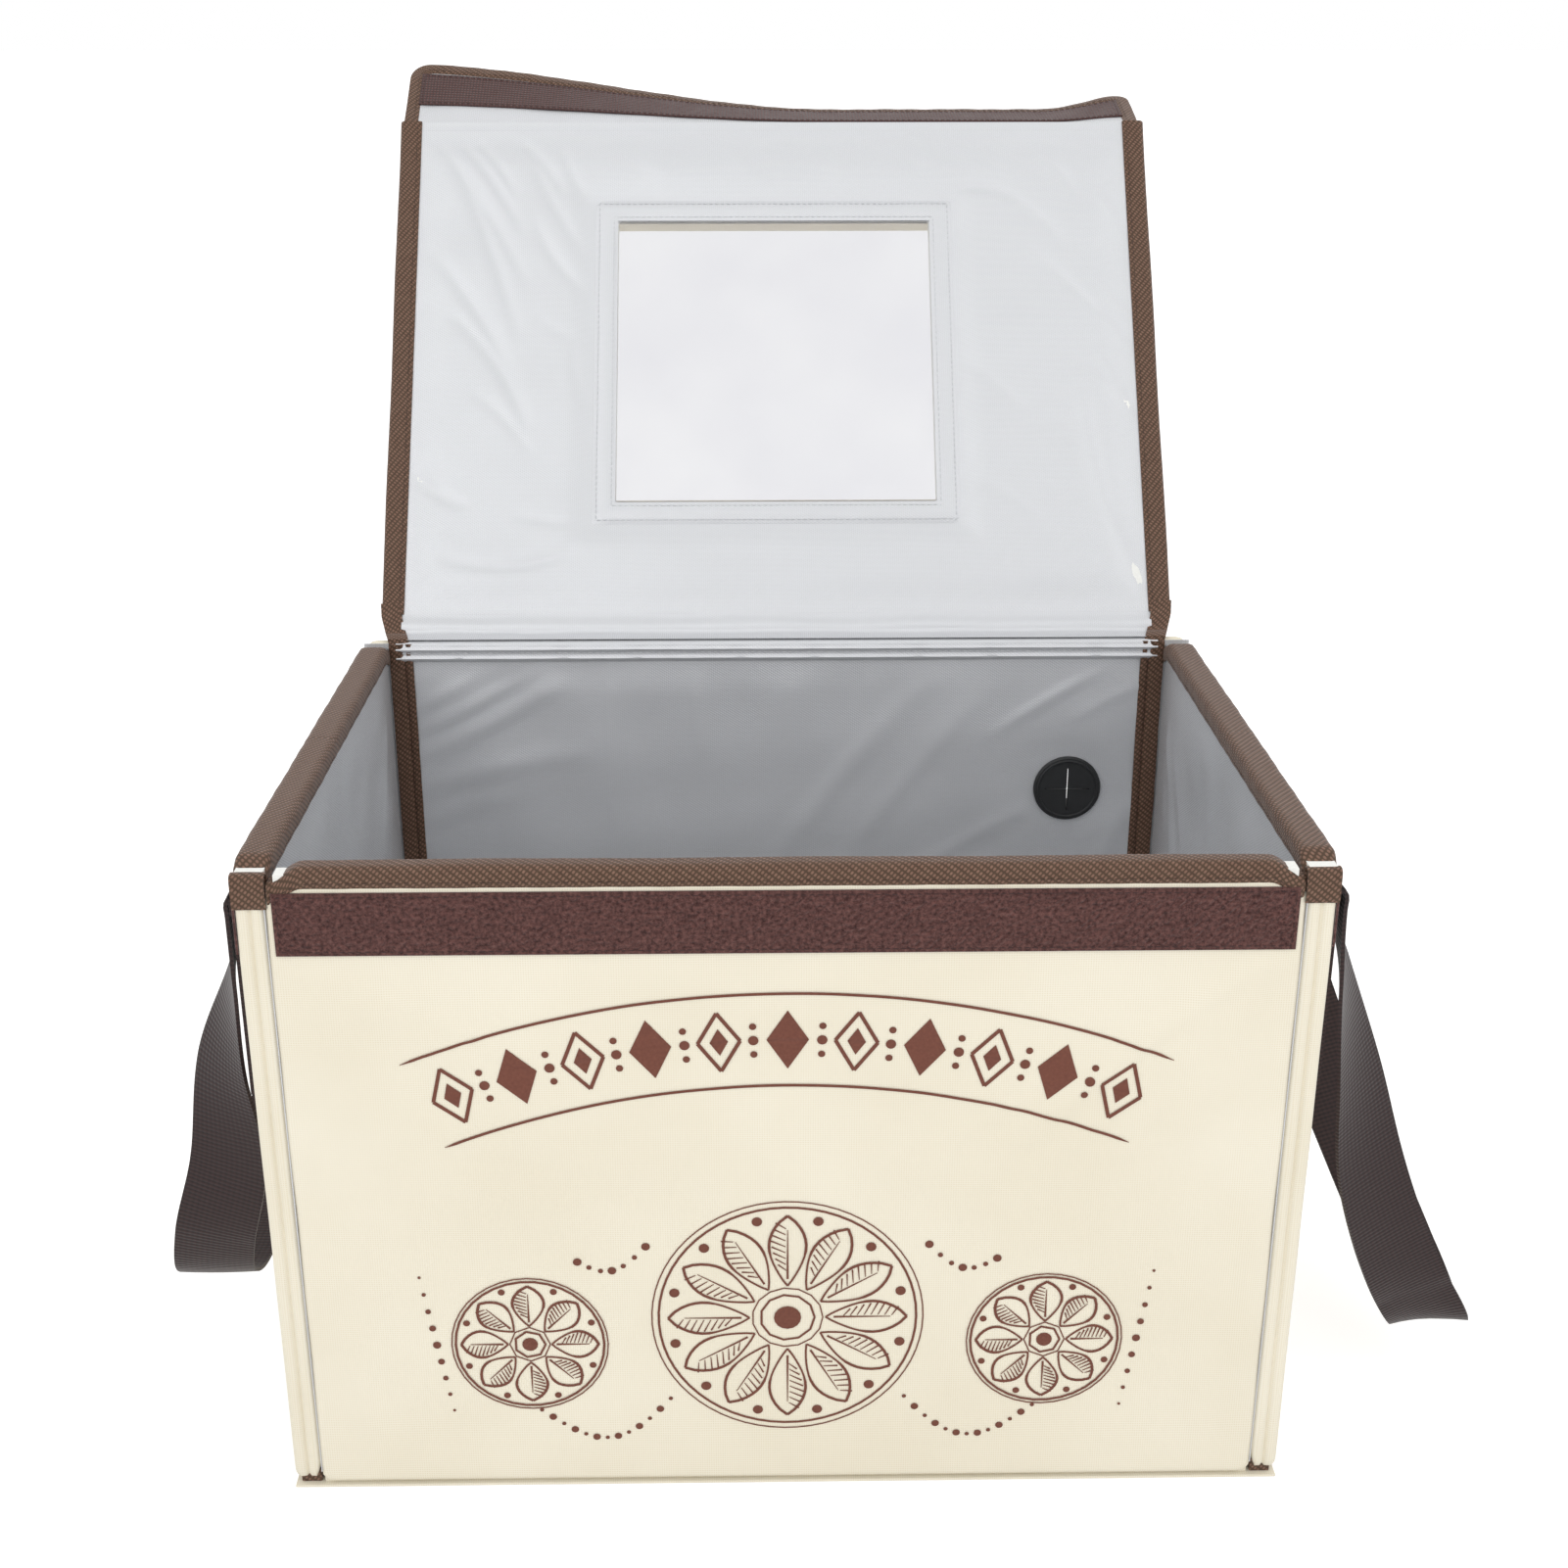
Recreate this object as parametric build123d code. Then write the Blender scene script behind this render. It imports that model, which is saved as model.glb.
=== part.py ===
from build123d import *
import os
from math import cos, hypot, radians, sin

# Folding insulated dough proofer. Five padded walls and a lid, each a foam board
# between a cream fabric cover and a silver lining, with edges bound in brown tape.
# Millimetres. The origin is the centre of the base on the table: +X is the user's
# right, +Y is the back, where the lid is hinged, and +Z is up. The lid stands open.

# ---------------------------------------------------------------- the box
box_width = 480.0        # over the side walls
box_depth = 335.0        # over the front and back walls
rim_height = 330.0       # top of the rim binding
end_wall_thickness = 10.0    # front and back walls
side_wall_thickness = 14.0
lid_thickness = 10.0
lid_inset = 7.5          # lid's side edges to the box's sides
lid_open_angle = 125.0   # how far the lid stands open, from shut

# ---------------------------------------------------------------- the layers
lining_thickness = 0.8
cover_skin = 0.8         # cover fabric over the board's face
board_seam = 3.0         # board to the cover's edge, where the cover is sewn
cover_round = 3.0        # soft rounding along a cover's edges
touch_gap = 0.3          # running gap between walls that fold past each other
pivot_gap = 0.2          # fold lines to the bindings that they turn past

# ---------------------------------------------------------------- tapes
binding_proud = 1.0      # binding tape over the panel that it wraps
binding_drop = 10.0      # how far a rim binding comes down each face
fold_round = 1.5         # a folded tape's outer corners, over how far it stands proud
tape_height = 30.0       # hook and loop tape
tape_round = 2.0
tape_below_binding = 2.0
loop_thickness = 1.2
hook_thickness = 1.0
hook_to_loop = 0.4       # air between the two tapes with the lid shut
tape_end_margin = 1.5
crease_margin = 1.0      # tape and binding stop short of the side walls' crease
lid_binding_gap = 1.5    # lid bindings to the front flap as it turns past them
corner_tape_width = 13.5     # binding along the seams inside the two rear corners
corner_tape_gap = 0.5
corner_tape_lift = 2.0   # over the base's hems

# ---------------------------------------------------------------- the base
base_fabric_thickness = 1.2
base_hem_round = 1.0
base_board_thickness = 4.0
base_board_round = 6.0
mat_thickness = 1.5
mat_side_margin = 44.5   # heating mat to the base board's edges
mat_end_margin = 26.95
mat_round = 12.0
gland_thickness = 3.0
gland_width = 20.0
gland_depth = 12.0
gland_round = 3.0
gland_inset = 60.0       # middle of the gland to the mat's right edge
lead_hole = 2.2
board_edge_gap = 1.5     # base board to the walls around it
base_clearance = 0.3

# ---------------------------------------------------------------- the lid
lid_clearance = 0.5      # lid binding over the rim with the lid shut
lid_hinge_behind = 0.5   # hinge line behind the back wall
lid_front_inside = 0.4   # lid's front edge to the front flap's inner face
lid_hinge_gap = 13.5     # limp fabric between the hinge line and the lid's board
hinge_strip_thickness = 0.5  # bare fabric that carries the lid
hinge_strip_lift = 0.1       # over the hinge line with the lid shut
hinge_strip_inset = 0.3      # from the hinge line
hinge_seam_height = 1.2      # turned fabric along the back wall's top
hinge_seam_round = 0.5
window_width = 192.0
window_height = 185.0
window_film = 0.6
window_trim_width = 14.0
window_trim_thickness = 0.8
window_round = 3.0

# ---------------------------------------------------------------- the flaps
flap_thickness = 2.5
flap_bend_round = 5.0    # outside the bend where a side flap turns down
flap_below_tape = 10.0   # flap edge to its hook tape
flap_axis_lift = 0.4     # hinge line over the lid's outer face or its binding
flap_axis_gap = 0.2      # hinge line to the lid's edge
flap_hinge_skin = 0.8    # bare fabric at the flap's hinge line
flap_hinge_length = 3.1
flap_start = 0.1
flap_binding_proud = 0.6
flap_binding_width = 9.0
side_flap_gap = 5.5      # ends of a side flap to the handles on either side of it
front_flap_rest = 118.0  # how far the flap is turned out of its shut place
side_flap_rest = 165.0

# ---------------------------------------------------------------- the handles
webbing_width = 38.0
webbing_thickness = 2.2
handle_end_inset = 7.0   # webbing to the side wall's front and back edges
handle_tab_top = 312.0
handle_tab_length = 97.0
handle_tab_gap = 0.1     # tab to the loop tape under it
handle_stand = 5.4       # middle of the loose webbing to the wall, at its two ends
handle_top = 308.0

# ---------------------------------------------------------------- the grommet
grommet_hole = 30.0
grommet_flange = 40.0
grommet_flange_thickness = 2.3
grommet_flange_chamfer = 0.8
grommet_wall = 3.0
grommet_fit = 0.2
grommet_membrane = 2.0
grommet_slit_length = 27.0
grommet_slit_width = 0.6
grommet_from_side = 67.0     # from the box's right side
grommet_below_rim = 93.0

# ---------------------------------------------------------------- places worked out
half_width = box_width / 2
half_depth = box_depth / 2
side_inner = half_width - side_wall_thickness
end_inner = half_depth - end_wall_thickness
panel_top = rim_height - binding_proud

board_bottom = base_fabric_thickness + base_clearance
mat_bottom = board_bottom + base_board_thickness
mat_top = mat_bottom + mat_thickness
gland_top = mat_bottom + gland_thickness
hem_top = gland_top + base_clearance
wall_bottom = hem_top + touch_gap
wall_height = panel_top - wall_bottom

# The base board stands up in a slot in front of the back wall before the walls fold.
board_slot = gland_top - board_bottom + grommet_flange_thickness + 2 * base_clearance
board_pivot_y = end_inner - board_slot + base_clearance
pivot_stand = binding_proud + pivot_gap
back_pivot_y = end_inner - board_slot - touch_gap
front_pivot_y = -end_inner + pivot_stand
crease_y = (back_pivot_y + front_pivot_y) / 2

front_width = 2 * (side_inner - binding_proud - touch_gap)
front_half_length = crease_y + half_depth - touch_gap / 2
rear_half_length = end_inner - touch_gap - crease_y - touch_gap / 2
front_half_middle = -half_depth + front_half_length / 2
rear_half_middle = end_inner - touch_gap - rear_half_length / 2

lid_hinge_y = half_depth + lid_hinge_behind
lid_hinge_z = rim_height + lid_clearance
lid_inner_z = lid_hinge_z + binding_proud
lid_outer_z = lid_inner_z + lid_thickness
flap_inner_y = half_depth + loop_thickness + hook_to_loop + hook_thickness
lid_front_y = flap_inner_y - lid_front_inside
lid_length = lid_hinge_y - lid_hinge_gap + lid_front_y
lid_width = box_width - 2 * lid_inset
lid_panel_width = lid_width - 2 * binding_proud
tape_top = rim_height - binding_drop - tape_below_binding
flap_edge_z = tape_top - tape_height - flap_below_tape
side_flap_axis_x = lid_width / 2 + flap_axis_gap
side_flap_axis_z = lid_outer_z + binding_proud + flap_axis_lift
side_flap_run = half_width + loop_thickness + hook_to_loop + hook_thickness - side_flap_axis_x
front_flap_axis_y = lid_front_y + flap_axis_gap
front_flap_axis_z = lid_outer_z + flap_axis_lift
front_flap_run = flap_inner_y - front_flap_axis_y
lid_binding_margin = hypot(front_flap_run + flap_thickness, flap_hinge_length) + lid_binding_gap

grommet_side = half_width - grommet_from_side
grommet_z = rim_height - grommet_below_rim
handle_end_y = half_depth - handle_end_inset - webbing_width / 2
side_flap_length = 2 * (handle_end_y - webbing_width / 2 - side_flap_gap)
handle_tab_inner = half_width + loop_thickness + handle_tab_gap

parts = {}


def block(x0, x1, y0, y1, z0, z1):
    """A box between two corners."""
    box = Box(x1 - x0, y1 - y0, z1 - z0)
    return Pos((x0 + x1) / 2, (y0 + y1) / 2, (z0 + z1) / 2) * box


def soft_slab(width, height, thickness):
    """A cover's outer form: outer face at y = 0, facing -Y, with soft edges there."""
    slab = block(-width / 2, width / 2, 0, thickness, 0, height)
    slab = fillet(slab.edges().filter_by(Axis.Y), cover_round)
    return fillet(slab.faces().sort_by(Axis.Y)[0].edges(), cover_round)


def padded_panel(name, width, height, thickness, place, cutter=None):
    """A wall as it is sewn: a board in the cover's pocket, and the lining over both.

    It is drawn standing on z = 0 with its outer face at y = 0, facing -Y, and then
    put in its place. The cutter is a hole through all three layers.
    """
    lining_y = thickness - lining_thickness
    pocket = block(
        -width / 2 + board_seam, width / 2 - board_seam,
        cover_skin, lining_y,
        board_seam, height - board_seam,
    )
    cover = soft_slab(width, height, lining_y) - pocket
    board = pocket
    lining = block(-width / 2, width / 2, lining_y, thickness, 0, height)
    lining = fillet(lining.edges().filter_by(Axis.Y), cover_round)
    if cutter:
        cover, board, lining = cover - cutter, board - cutter, lining - cutter
    parts[name + "_cover"] = place * cover
    parts[name + "_board"] = place * board
    parts[name + "_lining"] = place * lining


def edge_binding(length, height, thickness, proud, drop):
    """Folded tape over a panel's top edge, at z = height, along X."""
    outside = block(-length / 2, length / 2, -proud, thickness + proud, height - drop, height + proud)
    outside = fillet(outside.edges().filter_by(Axis.X).group_by(Axis.Z)[-1], proud * fold_round)
    inside = block(-length / 2, length / 2, 0, thickness, height - drop, height)
    return outside - inside


def loop_tape(length):
    """A strip of loop tape on a wall's outer face, under its rim binding."""
    top = tape_top - wall_bottom
    strip = block(-length / 2, length / 2, -loop_thickness, 0, top - tape_height, top)
    return fillet(strip.edges().filter_by(Axis.Y), tape_round)


# ---------------------------------------------------------------- the base
def build_base():
    """The fabric base, its bound sides, and the hems that the walls stand on."""
    sheet = block(-half_width, half_width, -half_depth, half_depth, 0, base_fabric_thickness)
    parts["base_fabric"] = fillet(sheet.edges().filter_by(Axis.Z), cover_round)

    def bar(x0, x1, y0, y1):
        solid = block(x0, x1, y0, y1, base_fabric_thickness, hem_top)
        return fillet(solid.edges().filter_by(Axis.Z), base_hem_round)

    parts["base_side_bindings"] = Compound(children=[
        bar(-half_width, -side_inner, -half_depth, half_depth),
        bar(side_inner, half_width, -half_depth, half_depth),
    ])
    parts["base_end_hems"] = Compound(children=[
        bar(-side_inner, side_inner, -half_depth, -end_inner),
        bar(-side_inner, side_inner, end_inner, half_depth),
    ])


def build_base_board():
    """The stiff board that makes the floor, with the heating mat that lies on it."""
    board_half = side_inner - board_edge_gap
    front_y = -end_inner + board_edge_gap
    board = block(-board_half, board_half, front_y, board_pivot_y, board_bottom, mat_bottom)
    parts["base_board"] = fillet(board.edges().filter_by(Axis.Z), base_board_round)

    middle_y = (front_y + board_pivot_y) / 2
    mat_width = 2 * (board_half - mat_side_margin)
    mat_depth = board_pivot_y - front_y - 2 * mat_end_margin
    mat = block(
        -mat_width / 2, mat_width / 2,
        middle_y - mat_depth / 2, middle_y + mat_depth / 2,
        mat_bottom, mat_top,
    )
    parts["heating_mat"] = fillet(mat.edges().filter_by(Axis.Z), mat_round)

    gland_x = mat_width / 2 - gland_inset
    gland_y = middle_y + mat_depth / 2
    gland = block(
        gland_x - gland_width / 2, gland_x + gland_width / 2,
        gland_y, gland_y + gland_depth,
        mat_bottom, gland_top,
    )
    gland = fillet(gland.edges().filter_by(Axis.Z).group_by(Axis.Y)[-1], gland_round)
    bore = Cylinder(lead_hole / 2, gland_depth, rotation=(90, 0, 0))
    bore = Pos(gland_x, gland_y + gland_depth, (mat_bottom + gland_top) / 2) * bore
    parts["mat_lead_gland"] = gland - bore


# ---------------------------------------------------------------- the walls
def build_front_wall():
    place = Pos(0, -half_depth, wall_bottom)
    padded_panel("front", front_width, wall_height, end_wall_thickness, place)
    binding = edge_binding(front_width, wall_height, end_wall_thickness, binding_proud, binding_drop)
    parts["front_rim_binding"] = place * binding
    parts["front_loop_tape"] = place * loop_tape(front_width - 2 * tape_end_margin)


def build_back_wall():
    """The back wall, as wide as the box, with the cable grommet near its right."""
    place = Pos(0, half_depth, wall_bottom) * Rot(0, 0, 180)
    hole = Pos(-grommet_side, 0, grommet_z - wall_bottom) * Cylinder(
        grommet_hole / 2, 4 * end_wall_thickness, rotation=(90, 0, 0)
    )
    padded_panel("back", box_width, wall_height, end_wall_thickness, place, hole)

    def corner_tape(side):
        seam = side_inner - corner_tape_gap
        x_near, x_far = sorted((side * seam, side * (seam - corner_tape_width)))
        low = hem_top + corner_tape_lift
        return block(x_near, x_far, end_inner - binding_proud, end_inner, low, panel_top)

    parts["back_corner_tapes"] = Compound(children=[corner_tape(-1), corner_tape(1)])
    seam = block(
        -lid_panel_width / 2, lid_panel_width / 2,
        end_inner, half_depth, panel_top, panel_top + hinge_seam_height,
    )
    parts["back_top_seam"] = fillet(seam.edges().filter_by(Axis.X).group_by(Axis.Z)[-1][:1], hinge_seam_round)


def build_side_half(name, side, length, middle_y, tape_from, tape_to):
    """One half of a side wall. The two halves meet at the wall's upright crease."""
    place = Pos(side * half_width, middle_y, wall_bottom) * Rot(0, 0, 90 * side)
    padded_panel(name, length, wall_height, side_wall_thickness, place)
    trimmed = abs(tape_to - tape_from)
    shift = Pos(side * ((tape_from + tape_to) / 2 - middle_y), 0, 0)
    binding = edge_binding(trimmed, wall_height, side_wall_thickness, binding_proud, binding_drop)
    parts[name + "_rim_binding"] = place * shift * binding
    parts[name + "_loop_tape"] = place * shift * loop_tape(trimmed)


def build_side_walls():
    for word, side in (("left", -1), ("right", 1)):
        build_side_half(
            word + "_front", side, front_half_length, front_half_middle,
            -half_depth + tape_end_margin, crease_y - crease_margin,
        )
        build_side_half(
            word + "_rear", side, rear_half_length, rear_half_middle,
            crease_y + crease_margin, end_inner - touch_gap - tape_end_margin,
        )


# ---------------------------------------------------------------- the cable grommet
def build_grommet():
    """A moulded rubber grommet, turned about its axis, with a cross slit for a lead."""
    lining_face = end_inner
    cover_face = half_depth
    barrel = grommet_hole / 2 - grommet_fit
    bore = barrel - grommet_wall
    flange = grommet_flange / 2
    chamfer = grommet_flange_chamfer
    front = lining_face - grommet_flange_thickness
    rear = cover_face + grommet_flange_thickness
    outline = Polyline(
        (0, front), (flange - chamfer, front), (flange, front + chamfer), (flange, lining_face),
        (barrel, lining_face), (barrel, cover_face), (flange, cover_face), (flange, rear - chamfer),
        (flange - chamfer, rear), (bore, rear), (bore, front + grommet_membrane),
        (0, front + grommet_membrane), close=True,
    )
    body = revolve(make_face(outline), Axis.Y)
    reach = 4 * grommet_membrane
    slit = Box(grommet_slit_length, reach, grommet_slit_width)
    slit += Box(grommet_slit_width, reach, grommet_slit_length)
    body -= Pos(0, front, 0) * slit
    parts["cable_grommet"] = Pos(grommet_side, 0, grommet_z) * body


# ---------------------------------------------------------------- the lid
lid_opening = Pos(0, lid_hinge_y, lid_hinge_z) * Rot(-lid_open_angle, 0, 0) * Pos(0, -lid_hinge_y, -lid_hinge_z)


def open_lid(solid):
    """Turn a piece drawn on the shut lid to where the lid stands open."""
    return lid_opening * solid


def build_lid():
    near_y = lid_hinge_y - lid_hinge_gap
    shut = Pos(0, near_y, lid_outer_z) * Rot(0, 0, 180) * Rot(-90, 0, 0)
    middle = lid_length / 2
    cutter = block(
        -window_width / 2, window_width / 2, -1, lid_thickness + 1,
        middle - window_height / 2, middle + window_height / 2,
    )
    cutter = fillet(cutter.edges().filter_by(Axis.Y), window_round)
    place = lid_opening * shut
    padded_panel("lid", lid_panel_width, lid_length, lid_thickness, place, cutter)

    rim = window_trim_width
    film = block(
        -window_width / 2 - rim / 2, window_width / 2 + rim / 2,
        lid_thickness, lid_thickness + window_film,
        middle - window_height / 2 - rim / 2, middle + window_height / 2 + rim / 2,
    )
    parts["lid_window"] = place * film
    trim = block(
        -window_width / 2 - rim, window_width / 2 + rim,
        lid_thickness + window_film, lid_thickness + window_film + window_trim_thickness,
        middle - window_height / 2 - rim, middle + window_height / 2 + rim,
    )
    opening = block(
        -window_width / 2, window_width / 2, 0, 2 * lid_thickness,
        middle - window_height / 2, middle + window_height / 2,
    )
    parts["window_trim"] = place * (trim - opening)

    strip_low = lid_hinge_z + hinge_strip_lift
    strip = block(
        -lid_panel_width / 2, lid_panel_width / 2,
        near_y, lid_hinge_y - hinge_strip_inset,
        strip_low, strip_low + hinge_strip_thickness,
    )
    parts["lid_hinge_strip"] = open_lid(strip)

    tape_length = lid_length - lid_binding_margin
    tape = edge_binding(tape_length, lid_panel_width / 2, lid_thickness, binding_proud, binding_drop)
    tape = Pos(0, 0, tape_length / 2) * Rot(0, 90, 0) * tape
    parts["lid_right_binding"] = place * tape.mirror(Plane.YZ)
    parts["lid_left_binding"] = place * tape


def flap_profile(run):
    """A flap's section with the lid shut: out from its hinge line at 0, then down.

    X is outwards and Y is up. Returns the face, and the flap's inner face at x = run.
    """
    drop = (lid_outer_z + flap_axis_lift) - flap_edge_z
    if run > flap_hinge_length:
        points = [
            (flap_start, -flap_start), (run + flap_thickness, -flap_start),
            (run + flap_thickness, -drop), (run, -drop),
            (run, -flap_start - flap_thickness),
            (flap_hinge_length, -flap_start - flap_thickness),
            (flap_hinge_length, -flap_start - flap_hinge_skin),
            (flap_start, -flap_start - flap_hinge_skin),
        ]
    else:
        points = [
            (run, -flap_start), (run + flap_hinge_skin, -flap_start),
            (run + flap_hinge_skin, -flap_hinge_length),
            (run + flap_thickness, -flap_hinge_length),
            (run + flap_thickness, -drop), (run, -drop),
        ]
    return make_face(Polyline(*points, close=True)), drop


def build_flap(name, length, run, axis_place, rest_angle):
    """A lid flap with its hook tape and edge binding.

    It is drawn in its shut place about a hinge line along Y at 0, with -X outwards.
    The hinge line is put at the lid's edge, and the flap is turned out to its rest.
    """
    profile, drop = flap_profile(run)
    section = Plane(origin=(0, -length / 2, 0), x_dir=(-1, 0, 0), z_dir=(0, 1, 0))
    flap = extrude(section * profile, length)
    if run > flap_hinge_length:
        bend = flap.edges().filter_by(Axis.Y).sort_by(Axis.X)[:2].sort_by(Axis.Z)[-1]
        flap = fillet(bend, flap_bend_round)

    tape_low = -drop + flap_below_tape
    hook = block(
        -run, -run + hook_thickness,
        -length / 2 + tape_end_margin, length / 2 - tape_end_margin,
        tape_low, tape_low + tape_height,
    )
    outside = block(
        -run - flap_thickness - flap_binding_proud, -run + flap_binding_proud,
        -length / 2, length / 2,
        -drop - flap_binding_proud, -drop + flap_binding_width,
    )
    outside = fillet(outside.edges().filter_by(Axis.Y).group_by(Axis.Z)[0], flap_binding_proud * fold_round)
    inside = block(
        -run - flap_thickness, -run, -length / 2, length / 2, -drop, -drop + flap_binding_width,
    )
    turned = lid_opening * axis_place * Rot(0, rest_angle, 0)
    parts[name] = turned * flap
    parts[name + "_hook_tape"] = turned * hook
    parts[name + "_binding"] = turned * (outside - inside)


def build_flaps():
    side_middle_y = 0.0
    left = Pos(-side_flap_axis_x, side_middle_y, side_flap_axis_z)
    right = Pos(side_flap_axis_x, side_middle_y, side_flap_axis_z) * Rot(0, 0, 180)
    front = Pos(0, -front_flap_axis_y, front_flap_axis_z) * Rot(0, 0, 90)
    build_flap("left_flap", side_flap_length, side_flap_run, left, side_flap_rest)
    build_flap("right_flap", side_flap_length, side_flap_run, right, side_flap_rest)
    build_flap("front_flap", lid_width, front_flap_run, front, front_flap_rest)


# ---------------------------------------------------------------- the handles
# Each handle is one length of webbing. Its points give how far the webbing's middle
# stands off the side wall, then y as a share of the way to the sewn ends, z, and how
# far the webbing has twisted: 0 is flat against the wall, 90 is square to it, and at
# 180 it is flat again with the same face outwards.
left_handle_route = [
    (handle_stand, -1.0, handle_top, 0), (10, -1.0, 268, 14), (20, -1.0, 220, 46),
    (23, -0.99, 166, 76), (35, -0.95, 122, 86), (41, -0.85, 94, 90), (42, -0.69, 80, 90),
    (40, -0.50, 80, 90), (37, -0.24, 86, 90), (33, 0.05, 110, 92), (28, 0.36, 160, 104),
    (21, 0.67, 222, 130), (13, 0.90, 280, 162), (handle_stand, 1.0, handle_top, 180),
]
right_handle_route = [
    (handle_stand, -1.0, handle_top, 0), (14, -1.0, 262, 20), (26, -1.0, 210, 44),
    (38, -0.97, 160, 64), (54, -0.93, 116, 74), (73, -0.86, 76, 82), (90, -0.75, 48, 90),
    (94, -0.61, 42, 90), (87, -0.44, 60, 92), (72, -0.20, 96, 96), (56, 0.10, 138, 104),
    (40, 0.42, 190, 120), (25, 0.70, 240, 142), (13, 0.91, 283, 166),
    (handle_stand, 1.0, handle_top, 180),
]


def webbing(side, route):
    """Webbing on a side wall: flat facets between sections that turn along its route.

    Both ends lie along the wall, so that they meet the sewn tabs flat.
    """
    points = [Vector(side * (half_width + out), y * handle_end_y, z) for out, y, z, _ in route]
    alongs = [(after - before).normalized() for before, after in zip(points, points[2:])]
    alongs = [Vector(0, 0, -1), *alongs, Vector(0, 0, 1)]
    rings = []
    for point, along, step in zip(points, alongs, route):
        twist = radians(step[3])
        across = Vector(side * sin(twist), cos(twist), 0)
        across = (across - along * across.dot(along)).normalized()
        half = across * (webbing_width / 2)
        thin = along.cross(across) * (webbing_thickness / 2)
        rings.append([point + half + thin, point - half + thin, point - half - thin, point + half - thin])
    facets = [rings[0][::-1], rings[-1]]
    for near, far in zip(rings, rings[1:]):
        for corner in range(4):
            after = (corner + 1) % 4
            quad = [near[corner], near[after], far[after], far[corner]]
            # The two broad sides are cut along the same diagonal, so the webbing keeps its thickness.
            if corner > 1:
                quad = quad[1:] + quad[:1]
            facets += [quad[:3], [quad[2], quad[3], quad[0]]]
    return Solid(Shell([Face(Wire.make_polygon(facet)) for facet in facets]))


def build_handles():
    for word, side, route in (("left", -1, left_handle_route), ("right", 1, right_handle_route)):
        parts[word + "_handle"] = webbing(side, route)
        for end, y in (("front", -handle_end_y), ("rear", handle_end_y)):
            x_near, x_far = sorted((
                side * handle_tab_inner, side * (handle_tab_inner + webbing_thickness)
            ))
            tab = block(
                x_near, x_far, y - webbing_width / 2, y + webbing_width / 2,
                handle_tab_top - handle_tab_length, handle_tab_top,
            )
            parts[f"{word}_handle_{end}_tab"] = tab


build_base()
build_base_board()
build_front_wall()
build_back_wall()
build_side_walls()
build_grommet()
build_lid()
build_flaps()
build_handles()

os.makedirs("parts", exist_ok=True)
for node, solid in parts.items():
    export_step(solid, f"parts/{node}.step")
print(len(parts), "nodes")
print("lid hinge", lid_hinge_y, lid_hinge_z)
print("fold lines: back y", back_pivot_y, "crease y", crease_y, "front y", front_pivot_y)
print("fold lines: x inner", side_inner - pivot_stand, "x crease", half_width + pivot_stand)
print("base board pivot", board_pivot_y, board_bottom)
print("flap hinges, lid shut: side x", side_flap_axis_x, "z", side_flap_axis_z)
print("flap hinges, lid shut: front y", -front_flap_axis_y, "z", front_flap_axis_z)
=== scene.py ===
from math import ceil, cos, hypot, pi, radians, sin

import bmesh
import bpy
import numpy as np
from mathutils import Matrix, Vector


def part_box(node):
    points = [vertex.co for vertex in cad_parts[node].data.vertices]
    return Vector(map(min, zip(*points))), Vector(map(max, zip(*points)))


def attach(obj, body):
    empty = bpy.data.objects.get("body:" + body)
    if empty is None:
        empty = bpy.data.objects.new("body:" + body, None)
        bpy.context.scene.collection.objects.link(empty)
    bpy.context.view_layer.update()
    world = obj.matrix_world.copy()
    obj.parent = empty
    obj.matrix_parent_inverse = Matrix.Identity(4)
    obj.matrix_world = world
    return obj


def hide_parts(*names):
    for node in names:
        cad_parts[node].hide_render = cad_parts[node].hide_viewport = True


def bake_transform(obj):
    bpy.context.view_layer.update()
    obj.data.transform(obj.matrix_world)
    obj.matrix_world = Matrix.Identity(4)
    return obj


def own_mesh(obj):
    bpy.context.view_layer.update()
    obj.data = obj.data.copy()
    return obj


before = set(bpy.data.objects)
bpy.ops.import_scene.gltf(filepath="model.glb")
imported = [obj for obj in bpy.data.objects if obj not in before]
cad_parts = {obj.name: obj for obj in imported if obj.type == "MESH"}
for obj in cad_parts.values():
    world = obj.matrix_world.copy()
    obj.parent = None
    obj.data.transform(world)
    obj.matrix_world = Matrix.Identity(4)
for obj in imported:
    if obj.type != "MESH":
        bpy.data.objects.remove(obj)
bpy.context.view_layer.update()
mm = 0.001

# ------------------------------------------------------------------ studio and camera
# The proofer stands on a pale floor in a white studio. Broad soft boxes light it from the
# front. A darker band round the middle of the ceiling is what the top of the silver lid shows.


def linear(code):
    """An sRGB hex colour as linear RGBA."""
    parts = [int(code[at:at + 2], 16) / 255 for at in (1, 3, 5)]
    return tuple(c / 12.92 if c <= 0.04045 else ((c + 0.055) / 1.055) ** 2.4 for c in parts) + (1.0,)


def add_node(owner, kind, settings=None, links=None):
    """Add a shader node: settings are its properties or sockets, links feed its sockets."""
    node = owner.node_tree.nodes.new("ShaderNode" + kind)
    for key, value in (settings or {}).items():
        if isinstance(key, str) and hasattr(node, key):
            setattr(node, key, value)
        else:
            node.inputs[key].default_value = value
    for key, source in (links or {}).items():
        output = source if isinstance(source, bpy.types.NodeSocket) else source.outputs[0]
        owner.node_tree.links.new(node.inputs[key], output)
    return node


world = bpy.data.worlds.new("white_studio")
bpy.context.scene.world = world
world.use_nodes = True
world.node_tree.nodes.clear()
ray_way = add_node(world, "TexCoord")
ray_rise = add_node(world, "SeparateXYZ", {}, {0: ray_way.outputs["Generated"]})
ray_share = add_node(world, "MapRange", {"From Min": -1.0}, {"Value": ray_rise.outputs["Z"]})
surround = add_node(world, "ValToRGB", {}, {"Fac": ray_share})
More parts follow.
